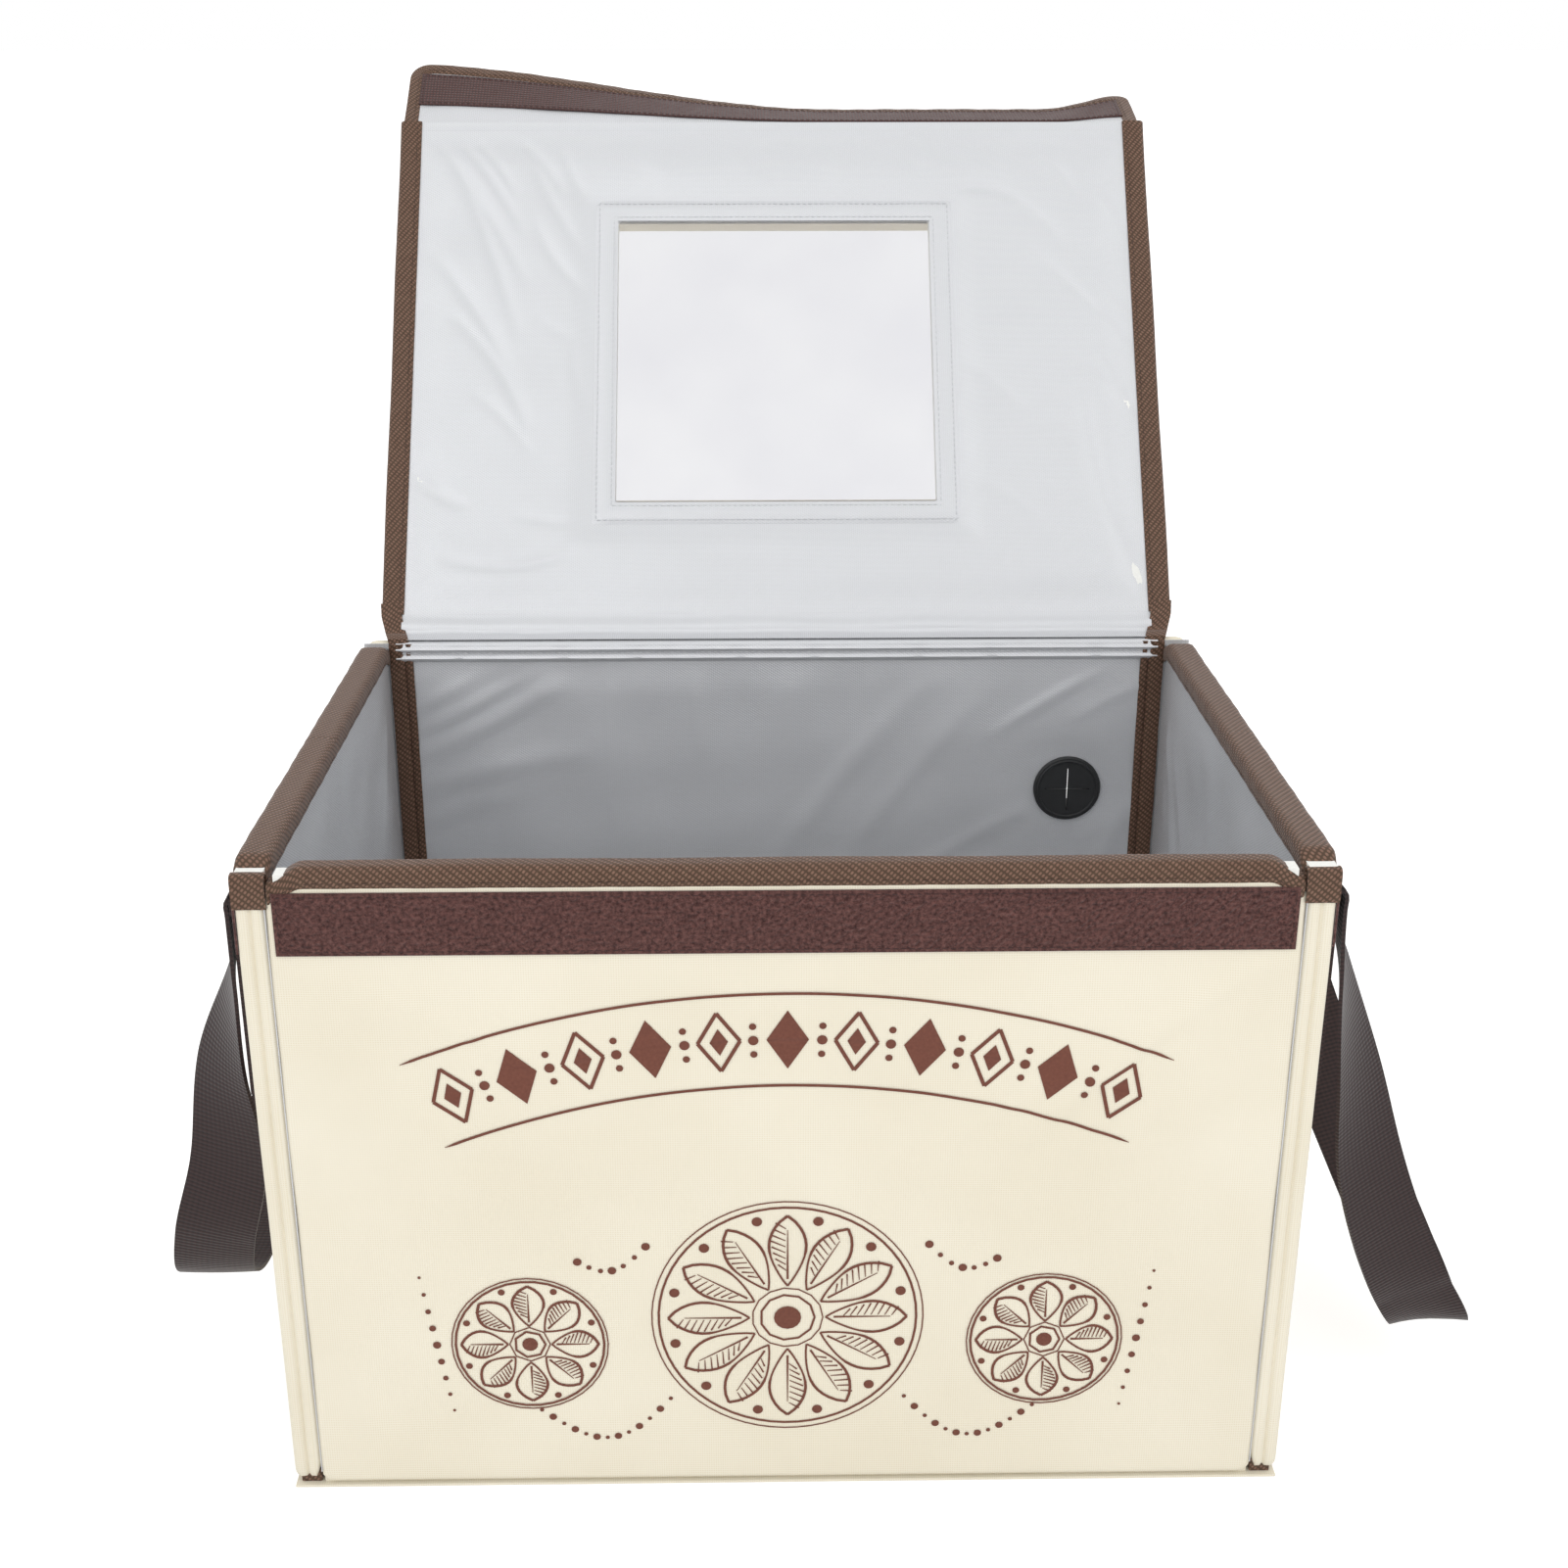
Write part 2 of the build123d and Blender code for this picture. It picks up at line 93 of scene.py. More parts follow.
# Share of the way from straight down to straight up, and how bright the studio is there.
studio_levels = [
    (0.0, 0.85), (0.5, 0.80), (0.62, 0.78), (0.78, 1.05), (0.925, 1.4), (0.955, 0.45), (1.0, 1.2),
]
for at, level in studio_levels[1:-1]:
    surround.color_ramp.elements.new(at)
for stop, (at, level) in zip(surround.color_ramp.elements, studio_levels):
    stop.position = at
    stop.color = (level, level, level, 1)
light_path = add_node(world, "LightPath")
seen_white = add_node(world, "Math", {"operation": "MAXIMUM"}, {
    0: light_path.outputs["Is Camera Ray"], 1: light_path.outputs["Is Transmission Ray"],
})
world_colour = add_node(world, "MixRGB", {"Color2": (1, 1, 1, 1)}, {"Fac": seen_white, "Color1": surround})
world_light = add_node(world, "Background", {"Strength": 1.0}, {"Color": world_colour})
add_node(world, "OutputWorld", {}, {"Surface": world_light})

for lamp_name, place, side, power in (
    ("key_soft_box", (-0.9, -1.9, 1.7), 1.4, 8.0),
    ("fill_soft_box", (1.5, -1.2, 1.2), 1.2, 3.0),
):
    lamp = bpy.data.lights.new(lamp_name, "AREA")
    lamp.size, lamp.energy = side, power
    lamp_object = bpy.data.objects.new(lamp_name, lamp)
    bpy.context.scene.collection.objects.link(lamp_object)
    lamp_object.location = place
    lamp_object.rotation_euler = (Vector((0, 0, 0.3)) - Vector(place)).to_track_quat("-Z", "Y").to_euler()

camera_data = bpy.data.cameras.new("camera")
camera_data.sensor_width = 36.0
camera_data.lens = 46.07
camera = bpy.data.objects.new("camera", camera_data)
bpy.context.scene.collection.objects.link(camera)
camera.location = (-0.0145, -0.9595, 0.6761)
camera.rotation_euler = (radians(68.692), 0.0, radians(-0.929))
bpy.context.scene.camera = camera
bpy.context.scene.view_settings.view_transform = "Standard"


def new_material(name):
    material = bpy.data.materials.new(name)
    material.use_nodes = True
    material.node_tree.nodes.clear()
    return material


floor_paint = new_material("matt_white_floor")
floor_path = add_node(floor_paint, "LightPath")
floor_lift = add_node(
    floor_paint, "Math", {"operation": "MULTIPLY", 1: 0.34}, {0: floor_path.outputs["Is Camera Ray"]},
)
floor_shader = add_node(floor_paint, "BsdfPrincipled", {
    "Base Color": linear("#F4F4F4"), "Roughness": 0.9, "Emission Color": (1, 1, 1, 1),
}, {"Emission Strength": floor_lift})
add_node(floor_paint, "OutputMaterial", {}, {"Surface": floor_shader})
bpy.ops.object.select_all(action="DESELECT")
bpy.ops.mesh.primitive_plane_add(size=60, location=(0, 0, -0.0002))
studio_floor = bpy.context.object
studio_floor.name = "studio_floor"
studio_floor.data.materials.append(floor_paint)

# ------------------------------------------------------------------ front wall
# A foam board in a pocket of cream polyester, lined with embossed aluminium film. The rim
# is bound in folded twill tape, and a strip of loop tape is sewn on under it.


def read_places(piece):
    places = np.empty(len(piece.data.vertices) * 3)
    piece.data.vertices.foreach_get("co", places)
    return places.reshape(-1, 3)


def write_places(piece, places):
    piece.data.vertices.foreach_set("co", np.ascontiguousarray(places).ravel())
    piece.data.update()


def only(piece):
    bpy.ops.object.select_all(action="DESELECT")
    piece.select_set(True)
    bpy.context.view_layer.objects.active = piece


def flat_cloth(name, width, height, cell):
    """Cloth lying flat about x = 0, from y = 0 upwards, as a grid of cells."""
    bpy.ops.object.select_all(action="DESELECT")
    bpy.ops.mesh.primitive_grid_add(
        x_subdivisions=max(2, round(width / cell)), y_subdivisions=max(2, round(height / cell)), size=1,
    )
    piece = bpy.context.object
    piece.name = piece.data.name = name
    bpy.ops.object.mode_set(mode="EDIT")
    bpy.ops.transform.resize(value=(width, height, 1), center_override=(0, 0, 0))
    bpy.ops.transform.translate(value=(0, height / 2, 0))
    bpy.ops.object.mode_set(mode="OBJECT")
    return piece


def lay_cloth(piece):
    """UV map "cloth" in metres, laid on the face and unrolled over the edges."""
    mesh = piece.data
    while mesh.uv_layers:
        mesh.uv_layers.remove(mesh.uv_layers[0])
    layer = mesh.uv_layers.new(name="cloth")
    places = read_places(piece)
    corners = np.empty(len(mesh.loops), np.int32)
    mesh.loops.foreach_get("vertex_index", corners)
    normals = np.empty(len(mesh.polygons) * 3)
    mesh.polygons.foreach_get("normal", normals)
    sizes = np.empty(len(mesh.polygons), np.int32)
    mesh.polygons.foreach_get("loop_total", sizes)
    facing = np.repeat(normals.reshape(-1, 3), sizes, axis=0)
    spot = places[corners]
    aside = (np.abs(facing[:, 0]) > np.abs(facing[:, 2])) & (np.abs(facing[:, 0]) >= np.abs(facing[:, 1]))
    above = (np.abs(facing[:, 1]) > np.abs(facing[:, 2])) & ~aside
    u = spot[:, 0] - np.where(aside, np.sign(facing[:, 0]) * spot[:, 2], 0)
    v = spot[:, 1] - np.where(above, np.sign(facing[:, 1]) * spot[:, 2], 0)
    layer.data.foreach_set("uv", np.stack([u, v], 1).ravel())


def choose_rim(piece, test):
    """In edit mode, select the open edges whose middle passes a test."""
    bpy.ops.mesh.select_mode(type="EDGE")
    bpy.ops.mesh.select_all(action="SELECT")
    bpy.ops.mesh.region_to_loop()
    mesh = bmesh.from_edit_mesh(piece.data)
    for edge in mesh.edges:
        if edge.select and not test((edge.verts[0].co + edge.verts[1].co) / 2):
            edge.select_set(False)
    bmesh.update_edit_mesh(piece.data)


def turn_rim(piece, width, height, middle, steps, test):
    """Carry open edges on in steps: how far out of a rectangle's edge, and how far down."""
    only(piece)
    bpy.ops.object.mode_set(mode="EDIT")
    choose_rim(piece, test)
    out_before = down_before = 0.0
    for out, down in steps:
        bpy.ops.mesh.extrude_edges_move(TRANSFORM_OT_translate={"value": (0, 0, down_before - down)})
        bpy.ops.transform.resize(
            value=(
                (width + 2 * out) / (width + 2 * out_before),
                (height + 2 * out) / (height + 2 * out_before),
                1,
            ),
            center_override=middle,
        )
        out_before, down_before = out, down
    bpy.ops.object.mode_set(mode="OBJECT")


def creases(x, y, lines):
    """Height of pressed creases, each (x0, y0, x1, y1, half width, height, bow) in mm."""
    height = np.zeros_like(x)
    for x0, y0, x1, y1, half, tall, bow in lines:
        run = hypot(x1 - x0, y1 - y0)
        along = ((x / mm - x0) * (x1 - x0) + (y / mm - y0) * (y1 - y0)) / run ** 2
        off = ((x / mm - x0) * (y1 - y0) - (y / mm - y0) * (x1 - x0)) / run
        swell = np.clip(1 - (2 * along - 1) ** 2, 0, 1)
        off = off - bow * swell
        height += tall * mm * swell ** 0.7 * np.exp(-((off / half) ** 2))
    return height


def fan(seed, corner, aims, reach, count, half, tall):
    """Tension creases that spread from a corner between two directions, in degrees."""
    dice = np.random.default_rng(seed)
    lines = []
    for aim in np.linspace(*aims, count):
        aim = radians(aim + dice.uniform(-2.5, 2.5))
        near, far = dice.uniform(4, 16), reach * dice.uniform(0.55, 1.0)
        lines.append((
            corner[0] + near * cos(aim), corner[1] + near * sin(aim),
            corner[0] + far * cos(aim), corner[1] + far * sin(aim),
            half * dice.uniform(0.7, 1.3), tall * dice.uniform(0.5, 1.1), dice.uniform(-5, 5),
        ))
    return lines


def runs_along(points):
    """How far along a flat line each of its points lies."""
    return np.concatenate([[0], np.cumsum(np.hypot(*np.diff(points, axis=0).T))])


def ripple(x, y, seed, length, tall):
    """Slow unevenness of cloth over foam, from a few crossed waves."""
    dice = np.random.default_rng(seed)
    height = np.zeros_like(x)
    for _ in range(7):
        aim, wave, start = dice.uniform(0, pi), length * dice.uniform(0.6, 1.8), dice.uniform(0, 2 * pi)
        height += np.sin((x * cos(aim) + y * sin(aim)) / wave * 2 * pi + start)
    return height * tall / 7


def rise(value, low, high):
    """0 below low, 1 above high, and smooth between."""
    share = np.clip((value - low) / (high - low), 0, 1)
    return share * share * (3 - 2 * share)


def harden(piece, thickness, offset=-1.0):
    """Give cloth its thickness, as an applied Solidify, and smooth shading."""
    only(piece)
    shell = piece.modifiers.new("thickness", "SOLIDIFY")
    shell.thickness, shell.offset = thickness, offset
    bpy.ops.object.modifier_apply(modifier=shell.name)
    bpy.ops.object.shade_smooth_by_angle(angle=radians(50))


def stand(piece, origin, across, up):
    """Move a piece from its own flat frame to its place, and apply the move."""
    across, up = Vector(across), Vector(up)
    turn = Matrix((across, up, across.cross(up))).transposed().to_4x4()
    piece.matrix_world = Matrix.Translation(origin) @ turn
    only(piece)
    bpy.ops.object.transform_apply(location=True, rotation=True, scale=True)


def fit(piece, body, slot, material, *nodes):
    """Finish a piece: its material, the body it rides on and the nodes it stands for."""
    piece.data.materials.clear()
    piece.data.materials.append(material)
    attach(piece, body)
    if nodes:
        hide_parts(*nodes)


def bridge(piece, slot, material, bodies, start, end, nodes=()):
    """Finish a piece that joins two bodies: give it its material, hide the nodes it stands for
    and apply its move. Its bodies, start and end are not used."""
    piece.data.materials.append(material)
    if nodes:
        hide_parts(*nodes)
    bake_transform(piece)


wave_repeat = 0.31416        # m: how far apart a wave texture of scale 1 repeats


def weave_height(material, coordinates, pitch_across, pitch_up, turn=0.0):
    """Two crossed sets of threads as one height, 0 to 1, at pitches in metres."""
    place = add_node(material, "Mapping", {"Rotation": (0, 0, radians(turn))}, {"Vector": coordinates})
    across = add_node(
        material, "TexWave", {"bands_direction": "X", "Scale": wave_repeat / pitch_across}, {"Vector": place},
    )
    up = add_node(
        material, "TexWave", {"bands_direction": "Y", "Scale": wave_repeat / pitch_up}, {"Vector": place},
    )
    return add_node(
        material, "Math", {"operation": "MULTIPLY"}, {0: across.outputs["Fac"], 1: up.outputs["Fac"]},
    )


# Cover: 300D polyester, plain woven and coated inside. The coating gives it a satin face.
cover_polyester = new_material("coated_plain_weave_polyester")
cloth = add_node(cover_polyester, "UVMap", {"uv_map": "cloth"})
# Threads lie 0.45 mm apart; they are drawn at 1.1 mm to show.
threads = weave_height(cover_polyester, cloth, 1.1 * mm, 1.1 * mm)
shade = add_node(cover_polyester, "TexNoise", {"Scale": 9.0, "Detail": 3.0}, {"Vector": cloth})
shade_share = add_node(
    cover_polyester, "MapRange", {"From Min": 0.35, "From Max": 0.65}, {"Value": shade.outputs["Fac"]},
)
tint = add_node(
    cover_polyester, "MixRGB", {"Color1": linear("#E9E2CF"), "Color2": linear("#EEE8D7")},
    {"Fac": shade_share},
)
# Painted shade: the cloth is coloured a little darker in a grid of spots at the weave's pitch, as the weave's
# shading.
weave_painted_shade = add_node(
    cover_polyester, "MixRGB", {"blend_type": "MULTIPLY", "Color2": linear("#F2EDE2")},
    {"Fac": threads, "Color1": tint},
)
slubs = add_node(cover_polyester, "TexNoise", {"Scale": 420.0, "Detail": 2.0}, {"Vector": cloth})
thread_relief = add_node(
    cover_polyester, "MixRGB", {"Fac": 0.3}, {"Color1": threads, "Color2": slubs.outputs["Fac"]},
)
raised = add_node(
    cover_polyester, "Bump", {"Strength": 0.25, "Distance": 0.12 * mm}, {"Height": thread_relief},
)
gloss = add_node(
    cover_polyester, "MapRange", {"To Min": 0.42, "To Max": 0.55}, {"Value": shade.outputs["Fac"]},
)
surface = add_node(cover_polyester, "BsdfPrincipled", {
    "Specular IOR Level": 0.45, "Sheen Weight": 0.12, "Sheen Roughness": 0.4,
}, {"Base Color": weave_painted_shade, "Roughness": gloss, "Normal": raised})
add_node(cover_polyester, "OutputMaterial", {}, {"Surface": surface})

# Lining: aluminium film laminated to a woven scrim, whose crossings stand out as rows of
# dots. Its clear coat scatters much of the light, so it shines softly and mirrors little.
lining_foil = new_material("aluminium_film_on_scrim")
cloth = add_node(lining_foil, "UVMap", {"uv_map": "cloth"})
# The dots lie 1.9 mm apart in staggered rows 1.2 mm apart; drawn at 2.4 and 1.5 mm to show.
squeezed = add_node(
    lining_foil, "Mapping", {"Scale": (1 / (1.7 * mm), 1 / (1.06 * mm), 1)}, {"Vector": cloth},
)
turned = add_node(lining_foil, "Mapping", {"Rotation": (0, 0, radians(45))}, {"Vector": squeezed})
row_a = add_node(lining_foil, "TexWave", {"bands_direction": "X", "Scale": wave_repeat}, {"Vector": turned})
row_b = add_node(lining_foil, "TexWave", {"bands_direction": "Y", "Scale": wave_repeat}, {"Vector": turned})
dots = add_node(
    lining_foil, "Math", {"operation": "MULTIPLY"}, {0: row_a.outputs["Fac"], 1: row_b.outputs["Fac"]},
)
crumple = add_node(
    lining_foil, "TexNoise", {"Scale": 28.0, "Detail": 4.0, "Roughness": 0.6}, {"Vector": cloth},
)
soft_bump = add_node(
    lining_foil, "Bump", {"Strength": 0.5, "Distance": 0.9 * mm}, {"Height": crumple.outputs["Fac"]},
)
dot_bump = add_node(
    lining_foil, "Bump", {"Strength": 0.55, "Distance": 0.22 * mm}, {"Height": dots, "Normal": soft_bump},
)
# Painted shade: the film is coloured darker between its dots, as the shade in the hollows there.
foil_colour_with_painted_shade = add_node(
    lining_foil, "MixRGB", {"Color1": linear("#C6C8CC"), "Color2": linear("#FCFCFD")}, {"Fac": dots},
)
foil_gloss = add_node(lining_foil, "MapRange", {"To Min": 0.34, "To Max": 0.20}, {"Value": dots})
surface = add_node(lining_foil, "BsdfPrincipled", {"Metallic": 0.34}, {
    "Base Color": foil_colour_with_painted_shade, "Roughness": foil_gloss, "Normal": dot_bump,
})
add_node(lining_foil, "OutputMaterial", {}, {"Surface": surface})

# Binding: brown polyester twill tape with diagonal ribs. Its ribs carry a painted highlight and the gaps
# between them painted shade.
twill_tape = new_material("brown_twill_tape")
cloth = add_node(twill_tape, "UVMap", {"uv_map": "cloth"})
# The ribs lie 1.0 mm apart; they are drawn at 1.7 mm to show.
ribs = weave_height(twill_tape, cloth, 1.7 * mm, 2.6 * mm, turn=38)
yarn_noise = add_node(twill_tape, "TexNoise", {"Scale": 260.0, "Detail": 2.0}, {"Vector": cloth})
# Painted light and shade: paler on the ribs' crowns, darker in the gaps between them.
rib_painted_light_and_shade = add_node(twill_tape, "ValToRGB", {}, {"Fac": ribs})
rib_painted_light_and_shade.color_ramp.elements[0].color = linear("#54402F")
rib_painted_light_and_shade.color_ramp.elements[1].color = linear("#8C6C5B")
rib_painted_light_and_shade.color_ramp.elements[0].position, rib_painted_light_and_shade.color_ramp.elements[1].position = 0.05, 0.6
yarn_tint = add_node(twill_tape, "MixRGB", {"blend_type": "MULTIPLY", "Color2": linear("#CDBFB8")}, {
    "Fac": yarn_noise.outputs["Fac"], "Color1": rib_painted_light_and_shade,
})
raised = add_node(twill_tape, "Bump", {"Strength": 0.7, "Distance": 0.3 * mm}, {"Height": ribs})
surface = add_node(twill_tape, "BsdfPrincipled", {
    "Roughness": 0.62, "Specular IOR Level": 0.35, "Sheen Weight": 0.2, "Sheen Roughness": 0.4,
}, {"Base Color": yarn_tint, "Normal": raised})
add_node(twill_tape, "OutputMaterial", {}, {"Surface": surface})

# Loop tape: brushed nylon pile, so it is matt, with paler loops that catch the light.
loop_pile = new_material("brushed_nylon_loop_pile")
cloth = add_node(loop_pile, "UVMap", {"uv_map": "cloth"})
loops = add_node(loop_pile, "TexNoise", {"Scale": 520.0, "Detail": 3.0, "Roughness": 0.7}, {"Vector": cloth})
tufts = add_node(loop_pile, "TexNoise", {"Scale": 90.0, "Detail": 2.0}, {"Vector": cloth})
pile_height = add_node(
    loop_pile, "MixRGB", {"Fac": 0.12}, {"Color1": loops.outputs["Fac"], "Color2": tufts.outputs["Fac"]},
)
pile_tint = add_node(loop_pile, "ValToRGB", {}, {"Fac": pile_height})
pile_tint.color_ramp.elements[0].color, pile_tint.color_ramp.elements[0].position = linear("#331A18"), 0.36
pile_tint.color_ramp.elements[1].color, pile_tint.color_ramp.elements[1].position = linear("#6E4A45"), 0.68
raised = add_node(loop_pile, "Bump", {"Strength": 0.9, "Distance": 0.7 * mm}, {"Height": pile_height})
surface = add_node(loop_pile, "BsdfPrincipled", {
    "Roughness": 0.95, "Specular IOR Level": 0.15, "Sheen Weight": 0.35, "Sheen Roughness": 0.5,
}, {"Base Color": pile_tint, "Normal": raised})
add_node(loop_pile, "OutputMaterial", {}, {"Surface": surface})

# Sewing thread: spun polyester in three shades, to match the binding, the lining and the
# hook and loop tape.
def thread_material(name, code):
    material = new_material(name)
    place = add_node(material, "TexCoord")
    twist = add_node(material, "TexNoise", {"Scale": 2200.0}, {"Vector": place.outputs["Object"]})
    dark = tuple(0.72 * c for c in linear(code)[:3]) + (1.0,)
    colour = add_node(
        material, "MixRGB", {"Color1": dark, "Color2": linear(code)}, {"Fac": twist.outputs["Fac"]},
    )
    body = add_node(
        material, "BsdfPrincipled", {"Roughness": 0.5, "Specular IOR Level": 0.4}, {"Base Color": colour},
    )
    add_node(material, "OutputMaterial", {}, {"Surface": body})
    return material


brown_thread = thread_material("brown_spun_polyester_thread", "#4A3429")
grey_thread = thread_material("silver_grey_spun_polyester_thread", "#D8DADD")
maroon_thread = thread_material("maroon_spun_polyester_thread", "#3A201E")


def sew(name, lines, face, pitch=3.6 * mm, length=2.7 * mm, gauge=0.55 * mm):
    """Rows of stitches along lines of points, standing on a surface that faces one way.

    One stitch is modelled, and a copy of it is set down at every pitch of every line.
    """
    bpy.ops.object.select_all(action="DESELECT")
    bpy.ops.mesh.primitive_uv_sphere_add(segments=6, ring_count=4, radius=0.5)
    piece = bpy.context.object
    piece.name = piece.data.name = name
    bpy.ops.object.mode_set(mode="EDIT")
    bpy.ops.transform.rotate(value=pi / 2, orient_axis="Y", center_override=(0, 0, 0))
    bpy.ops.transform.resize(value=(length, gauge, gauge * 0.8), center_override=(0, 0, 0))
    bpy.ops.object.mode_set(mode="OBJECT")
    shape = read_places(piece)
    facets = [tuple(facet.vertices) for facet in piece.data.polygons]
    spots, faces = [], []
    for line in lines:
        line = np.asarray(line, float)
        runs = np.concatenate([[0], np.cumsum(np.linalg.norm(np.diff(line, axis=0), axis=1))])
        count = max(1, int(runs[-1] / pitch))
        for middle in (np.arange(count) + 0.5) * runs[-1] / count:
            ends = [
                np.array([np.interp(middle + half, runs, line[:, axis]) for axis in range(3)])
                for half in (-length / 2, 0, length / 2)
            ]
            along = Vector(ends[2] - ends[0]).normalized()
            aside = Vector(face).cross(along).normalized()
            turn = np.array([along, aside, along.cross(aside)])
            faces += [tuple(len(spots) * len(shape) + at for at in facet) for facet in facets]
            spots.append(shape @ turn + ends[1])
    mesh = bpy.data.meshes.new(name)
    mesh.from_pydata(np.concatenate(spots).tolist(), [], faces)
    mesh.shade_smooth()
    piece.data = mesh
    return piece


def edge_bulge(down, thickness, soft):
    """How far a cover's side stands out: two soft ridges with the sewn seam between them."""
    nearest = min(down, thickness - down)
    corner = soft - (soft ** 2 - max(0.0, soft - nearest) ** 2) ** 0.5 if nearest < soft else 0.0
    valley = 1.3 * mm * np.exp(-(((down - thickness / 2) / (0.8 * mm)) ** 2))
    return soft - corner - valley


def padded_cover(
    name, width, height, thickness, relief, dip=None, cut=None, skirt=7 * mm, skirt_deep=1.5 * mm,
):
    """A sewn cover round its board. Its face is at z = 0 with a raised relief, and its
    sides run down to a hem turned in at the lining. Corners are soft in plan."""
    soft = 3.4 * mm
    piece = flat_cloth(name, width - 2 * soft, height - 2 * soft, 3.2 * mm)
    write_places(piece, read_places(piece) + (0, soft, 0))
    downs = np.array([0.25, 0.9, 1.9, 3.2]) * mm
    steps = [*downs, *(thickness / 2 + np.array([-1.1, -0.5, 0, 0.5, 1.1]) * mm), *(thickness - downs[::-1])]
    steps = [(edge_bulge(down, thickness, soft), down) for down in sorted(steps)]
    steps.append((-3.0 * mm, thickness - 0.1 * mm))
    turn_rim(
        piece, width - 2 * soft, height - 2 * soft, (0, height / 2, 0), steps, lambda spot: True,
    )
    if cut:
        cut(piece)
    lay_cloth(piece)
    x, y, z = read_places(piece).T
    # Corners are rounded in plan.
    round_to = 6 * mm
    past_x = np.abs(x) - (width / 2 - round_to)
    past_y = np.abs(y - height / 2) - (height / 2 - round_to)
    corner = (past_x > 0) & (past_y > 0)
    pull = np.where(corner, np.maximum(past_x, past_y) / np.maximum(np.hypot(past_x, past_y), 1e-9), 1)
    x = np.where(corner, np.sign(x) * (width / 2 - round_to + past_x * pull), x)
    y = np.where(corner, height / 2 + np.sign(y - height / 2) * (height / 2 - round_to + past_y * pull), y)
    inner = np.minimum(width / 2 - soft - np.abs(x), height / 2 - soft - np.abs(y - height / 2))
    z = z + np.where(z > -0.01 * mm, rise(inner, -0.1 * mm, 5 * mm) * relief(x, y), 0)
    # The sides aren't ruler straight.
    wander = 0.25 * mm * (np.sin(y / (31 * mm) + 1) + np.sin(y / (13 * mm)))
    x = x + np.sign(x) * wander * rise(np.abs(x), width / 2 - 6 * mm, width / 2)
    if dip:
        y = y - dip(x, y)
    # Its lower edge hangs over the hem that the wall stands on, as far in as skirt_deep.
    y = y - skirt * (1 - rise(y, 0, 40 * mm)) * (1 - rise(-z, skirt_deep - 0.7 * mm, skirt_deep + 0.7 * mm))
    write_places(piece, np.stack([x, y, z], 1))
    harden(piece, 0.5 * mm)
    return piece


def lining_sheet(name, width, height, relief, cell=3 * mm, dip=None, cut=None):
    """Lining in its own frame, which faces into the box: the board's face is at z = 0."""
    piece = flat_cloth(name, width, height, cell)
    if cut:
        cut(piece)
    lay_cloth(piece)
    x, y, z = read_places(piece).T
    z = z + relief(x, y)
    if dip:
        y = y - dip(x, y)
    write_places(piece, np.stack([x, y, z], 1))
    harden(piece, 0.4 * mm)
    return piece


def edge_section(share, width, drop, soft):
    """Across folded tape, from its hem on one face, over the edge, to its hem on the other."""
    turn = np.linspace(0, pi / 2, 7)
    far = width / 2
    out = np.concatenate([
        [far - 0.7 * mm, far], far - soft + soft * np.cos(turn), -(far - soft) - soft * np.sin(turn),
        [-far, -far + 0.7 * mm],
    ])
    up = np.concatenate([
        [-drop, -drop + 0.8 * mm], -soft + soft * np.sin(turn), -soft + soft * np.cos(turn),
        [-drop + 0.8 * mm, -drop],
    ])
    run = runs_along(np.stack([out, up], 1))
    return np.interp(share * run[-1], run, out), np.interp(share * run[-1], run, up), run[-1]


def folded_tape(name, length, thickness, drop, seed, dip=None, gather=None, proud=1.0 * mm):
    """Tape folded over a panel's edge. The edge is the X axis, and the panel hangs below it
    in -Y, from z = -thickness to 0. gather pleats the ends where the tape is bunched."""
    width, soft = thickness + 2 * proud, min(3.0 * mm, thickness / 2)
    girth = edge_section(np.zeros(1), width, drop, soft)[2]
    piece = flat_cloth(name, length, girth, 1.7 * mm)
    lay_cloth(piece)
    x, y, _ = read_places(piece).T
    share = y / girth
    out, up, _ = edge_section(share, width, drop, soft)
    slack = 0.18 * mm * np.sin(x / (9 * mm) + seed) * np.sin(x / (4.1 * mm) + 2 * seed + 6 * share)
    out = out + np.sign(out) * slack
    up = up + 0.25 * mm * np.sin(x / (23 * mm) + seed) * (1 - np.abs(2 * share - 1))
    if gather:
        bunch = gather(x)
        out = out * (1 - 0.06 * bunch) + 0.5 * mm * bunch * np.sin(x / (0.62 * mm)) * np.sign(out)
    if dip:
        up = up - dip(x)
    write_places(piece, np.stack([x, proud + up, -thickness / 2 + out], 1))
    harden(piece, 0.6 * mm)
    return piece


def tape_strip(name, length, height, thickness, seed, pile):
    """Hook or loop tape lying on z = 0, with soft ends and a pile that isn't quite even."""
    edge = 0.5 * mm
    piece = flat_cloth(name, length - 2 * edge, height - 2 * edge, 1.5 * mm)
    write_places(piece, read_places(piece) + (0, edge, 0))
    dice = np.random.default_rng(seed)
    places = read_places(piece)
    border = np.minimum(length / 2 - np.abs(places[:, 0]), np.minimum(places[:, 1], height - places[:, 1]))
    brushed = rise(border, 1.2 * mm, 3 * mm)
    places[:, 2] += thickness + brushed * dice.uniform(-1, 1, len(places)) * pile
    write_places(piece, places)
    turn_rim(
        piece, length - 2 * edge, height - 2 * edge, (0, height / 2, 0),
        [
            (0.35 * mm, 0.15 * mm), (edge, 0.5 * mm), (edge, thickness - 0.05 * mm),
            (-2 * mm, thickness - 0.02 * mm),
        ],
        lambda spot: True,
    )
    lay_cloth(piece)
    return piece


def size_of(node):
    low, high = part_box(node)
    return low, high, high - low


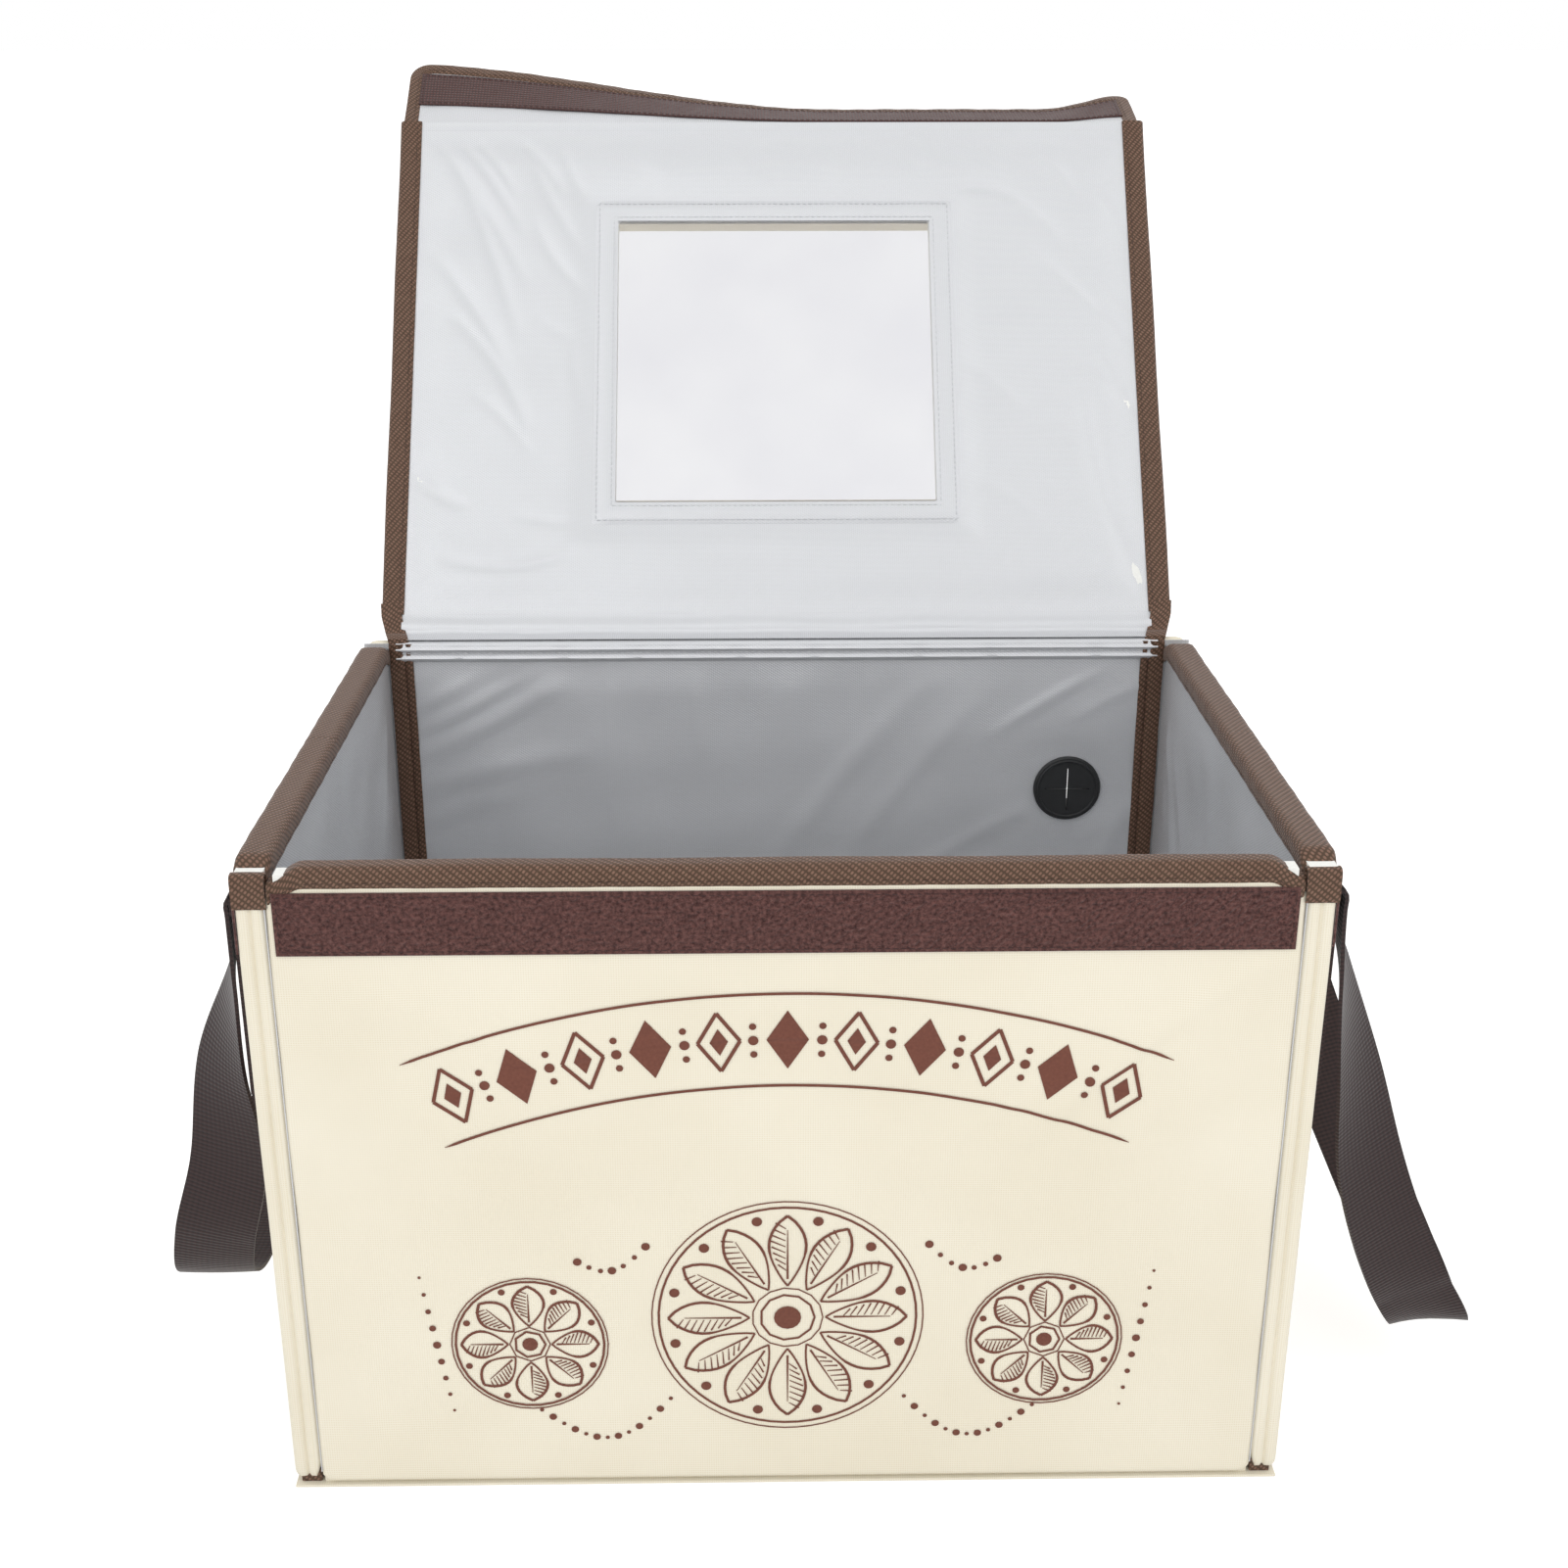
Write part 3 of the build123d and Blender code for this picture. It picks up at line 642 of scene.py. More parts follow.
low, high, size = size_of("front_cover")
front_width, front_height, front_thick = size.x, size.z, 10 * mm
front_origin = (0, low.y, low.z)
cover_thick = 9.4 * mm
cover_extra = 5.2 * mm       # the cover's extra width reaches to the side walls
notch_deep, notch_run, notch_tall = 11 * mm, 19 * mm, 45 * mm


def front_dip(x, y):
    """The wall's top corners are drawn down into the notches beside the side walls."""
    at_corner = rise(np.abs(x), front_width / 2 - notch_run, front_width / 2 - 2 * mm)
    return notch_deep * at_corner * rise(y, front_height - notch_tall, front_height)


front_creases = [
    *fan(3, (-222, 284), (-68, -28), 150, 7, 3.0, 0.75),
    *fan(4, (222, 284), (-148, -108), 190, 8, 4.5, 0.8),
    (223, 281, 164, 215, 6, 0.7, 6), (216, 250, 168, 120, 7, 0.5, 8), (-218, 262, -212, 120, 5, 0.5, 2),
    (217, 230, 214, 60, 5, 0.6, -2), (-206, 120, -198, 8, 7, 0.7, 4), (196, 60, 208, 10, 6, 0.4, 3),
    (120, 280, 60, 150, 12, 0.35, 6), (-60, 282, -20, 190, 12, 0.25, 5), (20, 279, 50, 200, 10, 0.25, -4),
]


def front_relief(x, y):
    crown = 0.7 * mm * (1 - (x / (front_width / 2)) ** 2) * np.clip(
        1 - ((y - 140 * mm) / (160 * mm)) ** 2, 0, 1,
    )
    return (
        crown + creases(x, y, front_creases) + ripple(x, y, 5, 70 * mm, 0.35 * mm)
    ) * rise(-y, -282 * mm, -272 * mm)


front_cover = padded_cover(
    "front_cover_cloth", front_width + cover_extra, front_height, cover_thick, front_relief, front_dip,
)
stand(front_cover, front_origin, (1, 0, 0), (0, 0, 1))
fit(front_cover, "front_wall", "cover_fabric", cover_polyester, "front_cover")


def plain_lining_relief(seed, width, height, lines):
    """A lining that swells a little off its seams and carries long soft folds."""
    def relief(x, y):
        edge = np.minimum(width / 2 - np.abs(x), np.minimum(y + 6 * mm, height - y))
        off_seam = rise(edge, 10 * mm, 32 * mm)
        return 0.45 * mm + off_seam * (
            0.6 * mm + ripple(x, y, seed, 60 * mm, 1.1 * mm) + creases(x, y, lines)
        )
    return relief


front_lining_lines = fan(12, (215, 310), (200, 250), 150, 5, 4, 0.8)
front_lining_relief = plain_lining_relief(11, front_width, front_height, front_lining_lines)
front_lining = lining_sheet(
    "front_lining_sheet", front_width, front_height, front_lining_relief, dip=front_dip,
)
stand(front_lining, (0, low.y + front_thick - 0.8 * mm, low.z), (-1, 0, 0), (0, 0, 1))
fit(front_lining, "front_wall", "lining_film", lining_foil, "front_lining")


def corner_dip(length, near=True, far=True, deep=7.5 * mm, over=15 * mm):
    """How far tape drops towards its ends, where it is drawn down into a corner notch."""
    def dip(x):
        return deep * (
            far * rise(x, length / 2 - over, length / 2) + near * rise(-x, length / 2 - over, length / 2)
        )
    return dip


def corner_gather(length, near=True, far=True, over=14 * mm):
    def gather(x):
        return far * rise(x, length / 2 - over, length / 2) + near * rise(-x, length / 2 - over, length / 2)
    return gather


rim_drop = 10 * mm
stitch_up = 3.6 * mm       # stitch row over the tape's hem
front_rim = folded_tape(
    "front_rim_tape", front_width, front_thick, rim_drop, 1.0,
    corner_dip(front_width), corner_gather(front_width),
)
rim_origin = (0, low.y, high.z)
stand(front_rim, rim_origin, (1, 0, 0), (0, 0, 1))
fit(front_rim, "front_wall", "binding_tape", twill_tape, "front_rim_binding")


def rim_stitches(name, length, thickness, dip, margin=6 * mm, drop=rim_drop):
    """A stitch row on each face of a rim tape, in the tape's frame."""
    x = np.linspace(-length / 2 + margin, length / 2 - margin, 60)
    y = -drop + stitch_up - (dip(x) if dip else 0 * x)
    rows = [np.stack([x, y, 0 * x + z], 1) for z in (1.05 * mm, -thickness - 1.05 * mm)]
    return sew(name, rows, (0, 0, 1))


front_rows = rim_stitches("front_rim_stitches", front_width, front_thick, corner_dip(front_width))
stand(front_rows, rim_origin, (1, 0, 0), (0, 0, 1))
fit(front_rows, "front_wall", "binding_tape", brown_thread)

tape_low, tape_high, tape_size = size_of("front_loop_tape")
front_loop = tape_strip("front_loop_strip", tape_size.x, tape_size.z, 1.2 * mm, 7, 0.22 * mm)
stand(front_loop, (0, low.y, tape_low.z), (1, 0, 0), (0, 0, 1))
fit(front_loop, "front_wall", "loop_tape", loop_pile, "front_loop_tape")


def box_row(width, height, inset, z):
    """A closed stitch row a little inside a rectangle that stands on y = 0."""
    x, low_y, high_y = width / 2 - inset, inset, height - inset
    return [(-x, low_y, z), (x, low_y, z), (x, high_y, z), (-x, high_y, z), (-x, low_y, z)]


front_loop_rows = sew("front_loop_stitches", [box_row(tape_size.x, tape_size.z, 2 * mm, 1.2 * mm)], (0, 0, 1))
stand(front_loop_rows, (0, low.y, tape_low.z), (1, 0, 0), (0, 0, 1))
fit(front_loop_rows, "front_wall", "loop_tape", maroon_thread)

# ------------------------------------------------------------------ front print
# A one-colour screen print in brown ink: a bowed band of lozenges and dots over three
# rosettes joined by strings of beads. The ink lies 0.1 mm thick on the cover.
print_ink = new_material("matt_screen_ink")
ink_place = add_node(print_ink, "TexCoord")
ink_grain = add_node(
    print_ink, "TexNoise", {"Scale": 700.0, "Detail": 2.0}, {"Vector": ink_place.outputs["Object"]},
)
ink_tint = add_node(
    print_ink, "MixRGB", {"Color1": linear("#5F3326"), "Color2": linear("#7B4838")}, {"Fac": ink_grain},
)
ink_bump = add_node(print_ink, "Bump", {"Strength": 0.2, "Distance": 0.1 * mm}, {"Height": ink_grain})
surface = add_node(print_ink, "BsdfPrincipled", {"Roughness": 0.5, "Specular IOR Level": 0.35}, {
    "Base Color": ink_tint, "Normal": ink_bump,
})
add_node(print_ink, "OutputMaterial", {}, {"Surface": surface})

ink_spots, ink_faces = [], []


def stroke(points, widths, step=2.2):
    """One printed stroke along points, in mm on the wall, with a width at each of them."""
    points, widths = np.asarray(points, float), np.broadcast_to(np.asarray(widths, float), len(points))
    runs = runs_along(points)
    at = np.unique(np.concatenate([np.linspace(0, runs[-1], max(2, ceil(runs[-1] / step) + 1)), runs]))
    x, y = np.interp(at, runs, points[:, 0]), np.interp(at, runs, points[:, 1])
    half = np.interp(at, runs, widths) / 2
    along = np.stack([np.gradient(x), np.gradient(y)], 1)
    along /= np.maximum(np.linalg.norm(along, axis=1, keepdims=True), 1e-9)
    aside = np.stack([-along[:, 1], along[:, 0]], 1) * half[:, None]
    line = np.stack([x, y], 1)
    columns = 2 + int(2 * half.max() / 3)
    for column, share in enumerate(np.linspace(-1, 1, columns)):
        first = sum(len(part) for part in ink_spots)
        ink_spots.append(line + share * aside)
        if column:
            for n in range(first, first + len(at) - 1):
                ink_faces.append((n - len(at), n - len(at) + 1, n + 1, n))


def ring(cx, cy, radius, width, start=0, end=360):
    angles = np.radians(np.linspace(start, end, max(8, int(radius))))
    stroke(np.stack([cx + radius * np.cos(angles), cy + radius * np.sin(angles)], 1), width)


def dot(cx, cy, radius):
    heights = np.cos(np.linspace(0, pi, 9))
    stroke([(cx, cy + radius * h) for h in heights], 2 * radius * np.sqrt(1 - heights ** 2) + 0.05, step=9)


def lozenge(cx, cy, wide, tall, lean, solid):
    """A lozenge that leans, either filled or drawn as an outline with a filled heart."""
    turn = Matrix.Rotation(radians(lean), 2)

    def put(x, y):
        return tuple(Vector((cx, cy)) + turn @ Vector((x, y)))

    if solid:
        stroke([put(0, -tall / 2), put(0, 0), put(0, tall / 2)], [0.1, wide, 0.1])
    else:
        corners = [
            put(0, -tall / 2), put(wide / 2, 0), put(0, tall / 2), put(-wide / 2, 0), put(0, -tall / 2),
        ]
        for near, far in zip(corners, corners[1:]):
            stroke([near, far], 1.7)
        stroke([put(0, -tall / 4.4), put(0, 0), put(0, tall / 4.4)], [0.1, wide / 2.3, 0.1])


def rosette(cx, cy, radius, petals):
    """Pointed petals round a beaded ring, hatched on one side like an engraving."""
    ring(cx, cy, radius * 0.20, 1.0)
    ring(cx, cy, radius * 0.26, 0.6)
    dot(cx, cy, radius * 0.10)
    for n in range(petals):
        aim = 2 * pi * n / petals + pi / 2
        along, aside = Vector((cos(aim), sin(aim))), Vector((-sin(aim), cos(aim)))
        belly = radius * 0.92 * sin(pi / petals)
        shares = np.linspace(0, 1, 13)
        bow = np.sin(shares * pi) ** 0.8 * belly * (0.55 + 0.45 * shares)
        reach = radius * (0.28 + 0.60 * shares)
        for side in (-1, 1):
            edge = [tuple(Vector((cx, cy)) + along * r + aside * side * b * 0.72) for r, b in zip(reach, bow)]
            stroke(edge, [0.9] * 6 + [1.3] * 7)
        stroke([tuple(Vector((cx, cy)) + along * r) for r in (radius * 0.34, radius * 0.76)], [1.0, 0.3])
        for share in np.arange(0.22, 0.86, 0.085):
            r, b = np.interp(share, shares, reach), np.interp(share, shares, bow) * 0.72
            start = Vector((cx, cy)) + along * r + aside * 0.12 * b
            end = Vector((cx, cy)) + along * (r + 0.05 * radius) + aside * 0.9 * b
            stroke([tuple(start), tuple(end)], [0.35, 0.75])
        between = aim + pi / petals
        dot(cx + radius * 0.86 * cos(between), cy + radius * 0.86 * sin(between), radius * 0.030 + 0.5)
    ring(cx, cy, radius * 0.95, 1.1)
    ring(cx, cy, radius, 0.6)


band_radius, band_top, band_span = 430.0, 252.0, 20.5   # mm, mm and degrees each way
for n in range(-5, 6):
    lean = n * band_span / 5
    cx, cy = band_radius * sin(radians(lean)), band_top - 16 - band_radius * (1 - cos(radians(lean)))
    lozenge(cx, cy, 19, 29, -lean, solid=n % 2 == 0)
    if n < 5:
        lean += band_span / 10
        cx, cy = band_radius * sin(radians(lean)), band_top - 16 - band_radius * (1 - cos(radians(lean)))
        for rise_by in (-7, 0, 7):
            aside = Vector((sin(radians(lean)), cos(radians(lean)))) * rise_by
            dot(cx + aside.x, cy + aside.y, 2.3 if rise_by == 0 else 1.6)
for off in (-23, 23):
    angles = np.radians(np.linspace(-band_span - 2, band_span + 2, 60))
    radius = band_radius + off
    centre = band_top - 16 - band_radius
    stroke(
        np.stack([radius * np.sin(angles), centre + radius * np.cos(angles)], 1), [0.2] + [1.3] * 58 + [0.2],
    )
rosette(0, 88, 64, 12)
for side in (-1, 1):
    rosette(side * 122, 74, 37, 8)
    for n in range(7):
        share = n / 6
        dot(side * (66 + share * 32), 128 - 8 * share - 9 * sin(share * pi), 1.2 + 0.8 * (n % 3 == 0))
    for n in range(13):
        share = n / 12
        dot(
            side * (56 + share * 62), 42 - 22 * sin(share * pi) * (1 - 0.2 * share) - 6 * share,
            1.0 + 0.8 * (n % 2),
        )
    for n in range(9):
        dot(side * (160 + 1.5 * n), 74 + (n - 4) * 9.5, 1.9 - 0.3 * abs(n - 4))

ink_lift = 0.35 * mm         # keeps coarse strokes clear of the cover's relief
flat_ink = np.concatenate(ink_spots) * mm
ink_mesh = bpy.data.meshes.new("front_print")
ink_x, ink_y = flat_ink.T
ink_mesh.from_pydata(
    np.stack([ink_x, ink_y, front_relief(ink_x, ink_y) + ink_lift], 1).tolist(), [], ink_faces,
)
front_print = bpy.data.objects.new("front_print", ink_mesh)
bpy.context.scene.collection.objects.link(front_print)
only(front_print)
bpy.ops.object.mode_set(mode="EDIT")
bpy.ops.mesh.select_all(action="SELECT")
bpy.ops.mesh.normals_make_consistent(inside=False)
bpy.ops.object.mode_set(mode="OBJECT")
harden(front_print, 0.12 * mm)
stand(front_print, front_origin, (1, 0, 0), (0, 0, 1))
fit(front_print, "front_wall", "cover_fabric", print_ink)

# ------------------------------------------------------------------ side walls
# Each side is two padded halves that meet at an upright crease, where the box folds flat.
# Both halves are lined, bound along the rim and carry loop tape for the lid's side flap.
crease_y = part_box("left_rear_cover")[0].y - 0.15 * mm
side_skirt = 5.5 * mm
for word, side in (("left", -1), ("right", 1)):
    for half in ("front", "rear"):
        name, body = f"{word}_{half}", f"{word}_{half}_side"
        low, high, size = size_of(name + "_cover")
        long, tall, thick = size.y, size.z, 14 * mm
        middle = (low.y + high.y) / 2
        outer_x = side * max(abs(low.x), abs(high.x))
        to_front = -side           # local x that points to the front, in the cover's frame
        front_half = half == "front"

        def half_dip(x, y, end=to_front, front_half=front_half, long=long, tall=tall):
            if front_half:
                at_corner = rise(end * x, long / 2 - notch_run, long / 2 - 2 * mm)
                return notch_deep * at_corner * rise(y, tall - notch_tall, tall)
            return 3 * mm * rise(-end * x, long / 2 - 9 * mm, long / 2) * rise(y, tall - 30 * mm, tall)

        seed = 20 + 2 * side + front_half
        corner = (to_front * (long / 2 / mm) if front_half else -to_front * (long / 2 / mm), 312)
        aims = (-75, -35) if corner[0] < 0 else (-145, -105)
        lines = fan(seed, corner, aims, 170, 6, 4.0, 0.8)

        def half_relief(x, y, seed=seed, lines=lines):
            return creases(x, y, lines) + ripple(x, y, seed, 60 * mm, 0.5 * mm) + 0.4 * mm

        cover = padded_cover(
            name + "_cover_cloth", long, tall, thick - 0.6 * mm, half_relief, half_dip,
            skirt=side_skirt, skirt_deep=thick - 2.5 * mm,
        )
        across = (0, side, 0)
        stand(cover, (outer_x, middle, low.z), across, (0, 0, 1))
        fit(cover, body, "cover_fabric", cover_polyester, name + "_cover")

        inward = (0, -side, 0)

        def back_dip(x, y, dip=half_dip):
            return dip(-x, y)

        lining_lines = fan(
            seed + 7, (-corner[0], 315), (-80, -50) if corner[0] > 0 else (-130, -100), 200, 5, 4.5, 0.7,
        )
        lining_relief = plain_lining_relief(seed + 3, long, tall, lining_lines)
        lining = lining_sheet(name + "_lining_sheet", long, tall, lining_relief, dip=back_dip)
        stand(lining, (outer_x - side * (thick - 0.8 * mm), middle, low.z), inward, (0, 0, 1))
        fit(lining, body, "lining_film", lining_foil, name + "_lining")

        rim_low, rim_high, rim_size = size_of(name + "_rim_binding")
        rim_long = rim_size.y
        rim_middle = (rim_low.y + rim_high.y) / 2
        at_near, at_far = (front_half, False) if side > 0 else (False, front_half)
        rim_dip = corner_dip(rim_long, at_near, at_far, deep=8 * mm)
        rim_gather = corner_gather(rim_long, at_near, at_far)
        if not front_half:
            rim_dip = corner_dip(rim_long, side < 0, side > 0, deep=3.5 * mm, over=9 * mm)
            rim_gather = None
        rim = folded_tape(name + "_rim_tape", rim_long, thick, rim_drop, seed, rim_dip, rim_gather)
        place = (outer_x, rim_middle, high.z)
        stand(rim, place, across, (0, 0, 1))
        fit(rim, body, "binding_tape", twill_tape, name + "_rim_binding")
        rows = rim_stitches(name + "_rim_stitches", rim_long, thick, rim_dip)
        stand(rows, place, across, (0, 0, 1))
        fit(rows, body, "binding_tape", brown_thread)
        if front_half:
            # At the front corner the tape's end is turned down over the wall's end.
            cap = folded_tape(name + "_rim_end", thick + 1.0 * mm, 5 * mm, 16 * mm, seed + 2)
            place = (outer_x - side * thick / 2, rim_low.y - 1.2 * mm, high.z - 4 * mm)
            stand(cap, place, (1, 0, 0), (0, 0, 1))
            fit(cap, body, "binding_tape", twill_tape)

        loop_low, loop_high, loop_size = size_of(name + "_loop_tape")
        loop = tape_strip(name + "_loop_strip", loop_size.y, loop_size.z, 1.2 * mm, seed, 0.22 * mm)
        place = (outer_x, (loop_low.y + loop_high.y) / 2, loop_low.z)
        stand(loop, place, across, (0, 0, 1))
        fit(loop, body, "loop_tape", loop_pile, name + "_loop_tape")
        rows = sew(name + "_loop_stitches", [box_row(loop_size.y, loop_size.z, 2 * mm, 1.2 * mm)], (0, 0, 1))
        stand(rows, place, across, (0, 0, 1))
        fit(rows, body, "loop_tape", maroon_thread)

    # The cover runs on over the crease as a narrow fold of cloth.
    fold_tall = tall - 16 * mm
    fold = flat_cloth(word + "_crease_cloth", 11 * mm, fold_tall, 1.4 * mm)
    lay_cloth(fold)
    x, y, z = read_places(fold).T
    rolls = 0.3 * mm * np.exp(-(((np.abs(x) - 4 * mm) / (1.2 * mm)) ** 2))
    valley = 2.4 * mm * np.exp(-((x / (1.6 * mm)) ** 2))
    z = 0.25 * mm + rolls - valley
    write_places(fold, np.stack([x, y, z], 1))
    harden(fold, 0.5 * mm)
    stand(fold, (outer_x, crease_y, low.z + 3 * mm), (0, side, 0), (0, 0, 1))
    halves = (f"{word}_rear_side", f"{word}_front_side")
    bridge(
        fold, "cover_fabric", cover_polyester, halves,
        (outer_x, crease_y + 2 * mm, 0.1), (outer_x, crease_y - 2 * mm, 0.1),
    )

    # So does the rim's binding.
    crease_tape = folded_tape(word + "_crease_rim_tape", 5.0 * mm, thick, rim_drop, 3.0)
    stand(crease_tape, (outer_x, crease_y, high.z), (0, side, 0), (0, 0, 1))
    bridge(
        crease_tape, "binding_tape", twill_tape, halves,
        (outer_x, crease_y + 1.5 * mm, 0.3), (outer_x, crease_y - 1.5 * mm, 0.3),
    )

# ------------------------------------------------------------------ back wall
# As wide as the whole box, with bound corner seams and a turned seam along its top. The
# rubber grommet passes through cover, board and lining.
low, high, size = size_of("back_cover")
back_wide, back_tall, back_thick = size.x, size.z, 10 * mm
grommet_low, grommet_high, _ = size_of("cable_grommet")
grommet_x, grommet_z = (grommet_low.x + grommet_high.x) / 2, (grommet_low.z + grommet_high.z) / 2
hole_radius = 15.5 * mm


def remove_faces(piece, test):
    """Cut out the faces whose middle passes a test."""
    only(piece)
    bpy.ops.object.mode_set(mode="EDIT")
    bpy.ops.mesh.select_mode(type="FACE")
    bpy.ops.mesh.select_all(action="DESELECT")
    mesh = bmesh.from_edit_mesh(piece.data)
    for facet in mesh.faces:
        facet.select_set(test(facet.calc_center_median()))
    bmesh.update_edit_mesh(piece.data)
    bpy.ops.mesh.delete(type="FACE")
    bpy.ops.object.mode_set(mode="OBJECT")


def pierce(mirror):
    centre = Vector((mirror * grommet_x, grommet_z - low.z, 0))

    def cut(piece):
        remove_faces(piece, lambda spot: spot.z > -1 * mm and (spot.xy - centre.xy).length < hole_radius)
    return cut


back_lines = [
    (-190, 305, -60, 250, 9, 0.5, 6), (150, 300, 20, 190, 10, 0.5, 8), (-120, 120, 60, 60, 12, 0.5, 6),
    *fan(41, (-236, 315), (-75, -40), 180, 6, 5, 0.8), *fan(42, (236, 315), (-140, -105), 180, 6, 5, 0.8),
]


def flat_round_grommet(x, y, mirror):
    return rise(np.hypot(x - mirror * grommet_x, y - (grommet_z - low.z)), 20 * mm, 34 * mm)


def back_relief(x, y):
    return flat_round_grommet(x, y, -1) * (
        creases(x, y, back_lines) + ripple(x, y, 43, 80 * mm, 0.5 * mm) + 0.3 * mm
    )


back_cover = padded_cover("back_cover_cloth", back_wide, back_tall, cover_thick, back_relief, cut=pierce(-1))
stand(back_cover, (0, high.y, low.z), (-1, 0, 0), (0, 0, 1))
fit(back_cover, "back_wall", "cover_fabric", cover_polyester, "back_cover")

back_lining_lines = [
    (-218, 248, -118, 302, 5.5, 1.0, 3), (-219, 262, -134, 309, 3.5, 0.8, 2),
    (-219, 276, -156, 314, 3.2, 0.8, 1), (-219, 294, -172, 320, 3.0, 0.7, 0),
    (-216, 228, -106, 252, 7, 0.8, -4), (-218, 205, -150, 226, 6, 0.6, -3),
    (-97, 318, -96, 150, 3.6, 0.9, 2), (-88, 262, -89, 120, 4.0, 0.8, -3),
    (-48, 318, -46, 250, 4, 0.6, 1), (-66, 270, -69, 150, 5, 0.6, 2), (106, 314, -8, 170, 7, 0.8, 6),
    (132, 300, 30, 165, 6, 0.6, 5), (219, 317, 122, 258, 3.2, 1.1, 3), (222, 233, 190, 170, 5, 0.9, 2),
    (170, 224, 76, 170, 5, 0.7, 3), (219, 296, 172, 270, 3, 0.6, 1), (60, 317, 52, 262, 5, 0.4, 1),
    (12, 318, 4, 262, 5, 0.4, 1), (-30, 180, 60, 40, 12, 0.9, 8), (-190, 160, -120, 40, 10, 0.9, 6),
    (160, 150, 200, 40, 10, 0.8, -4),
]
back_lining_base = plain_lining_relief(44, back_wide, back_tall, back_lining_lines)


def back_lining_relief(x, y):
    round_grommet = flat_round_grommet(x, y, 1)
    return 0.45 * mm + round_grommet * (back_lining_base(x, y) - 0.45 * mm)


back_lining = lining_sheet("back_lining_sheet", back_wide, back_tall, back_lining_relief, cut=pierce(1))
stand(back_lining, (0, high.y - back_thick + 0.8 * mm, low.z), (1, 0, 0), (0, 0, 1))
fit(back_lining, "back_wall", "lining_film", lining_foil, "back_lining")

# The corner seams' binding lies flat: a broad lap and a narrow one, with the stitches
# sunk between them.
tape_low, tape_high, tape_size = size_of("back_corner_tapes")
tape_tall = tape_size.z
seam_wide, narrow_lap = 13.5 * mm, 4.6 * mm
inner_face = high.y - back_thick
corner_rows = []
for word, side in (("left", -1), ("right", 1)):
    tape = flat_cloth(word + "_corner_tape", seam_wide, tape_tall, 1.1 * mm)
    lay_cloth(tape)
    x, y, z = read_places(tape).T
    seam_x = -side * (seam_wide / 2 - narrow_lap)
    from_seam = side * (x - seam_x)
    broad = 1.7 * mm * rise(from_seam, 0, 1.6 * mm) * (1 - 0.5 * rise(from_seam, 7.6 * mm, 8.9 * mm))
    narrow = 1.0 * mm * rise(-from_seam, 0, 1.2 * mm) * (1 - 0.7 * rise(-from_seam, 3.4 * mm, 4.6 * mm))
    slack = 0.25 * mm * np.sin(y / (17 * mm) + side) * np.abs(np.sin(y / (7.3 * mm)))
    write_places(tape, np.stack([x + 0.5 * slack, y, 0.55 * mm + broad + narrow + slack], 1))
    harden(tape, 0.6 * mm)
    middle_x = side * (tape_size.x / 2 - seam_wide / 2)
    stand(tape, (middle_x, inner_face, tape_low.z), (1, 0, 0), (0, 0, 1))
    nodes = ("back_corner_tapes",) if side < 0 else ()
    fit(tape, "back_wall", "binding_tape", twill_tape, *nodes)
    row_x = middle_x + seam_x
    corner_rows.append([
        (row_x, inner_face - 0.75 * mm, z) for z in np.linspace(tape_low.z + 3 * mm, tape_high.z - 2 * mm, 40)
    ])
rows = sew("corner_stitches", corner_rows, (0, -1, 0))
fit(rows, "back_wall", "binding_tape", brown_thread)

# The lining is turned over the wall's top in two rolls with a row of stitches between.
_, seam_high, seam_size = size_of("back_top_seam")
roll_path_y = np.array([0, 1.0, 8.5, 10.6, 11.4, 12.0, 12.2, 11.6]) * mm        # up, from 9 mm under the rim
roll_path_z = np.array([0.5, 1.3, 1.3, 1.3, 0.6, -1.0, -8.0, -9.6]) * mm         # into the box
roll_run = runs_along(np.stack([roll_path_y, roll_path_z], 1))
roll = flat_cloth("back_top_roll", seam_size.x - 20 * mm, roll_run[-1], 0.9 * mm)
lay_cloth(roll)
x, s, _ = read_places(roll).T
rolls = sum(
    tall * mm * np.exp(-(((s / mm - at) / 1.1) ** 2)) for at, tall in ((2.6, 1.1), (8.0, 1.3))
) * (1 + 0.25 * np.sin(x / (11 * mm)) * np.sin(x / (4.7 * mm)))
up = np.interp(s, roll_run, roll_path_y)
into = np.interp(s, roll_run, roll_path_z) + rolls + 0.15 * mm * np.sin(x / (29 * mm))
write_places(roll, np.stack([x, up, into], 1))
harden(roll, 0.4 * mm)
roll_origin = (0, inner_face, seam_high.z - 12.2 * mm)
stand(roll, roll_origin, (1, 0, 0), (0, 0, 1))
fit(roll, "back_wall", "lining_film", lining_foil, "back_top_seam")
x = np.linspace(-seam_size.x / 2 + 12 * mm, seam_size.x / 2 - 12 * mm, 60)
rows = sew(
    "back_top_stitches", [np.stack([x, 0 * x + 5.4 * mm, 0 * x + 1.45 * mm], 1)], (0, 0, 1), length=2.4 * mm,
)
stand(rows, roll_origin, (1, 0, 0), (0, 0, 1))
fit(rows, "back_wall", "lining_film", grey_thread)

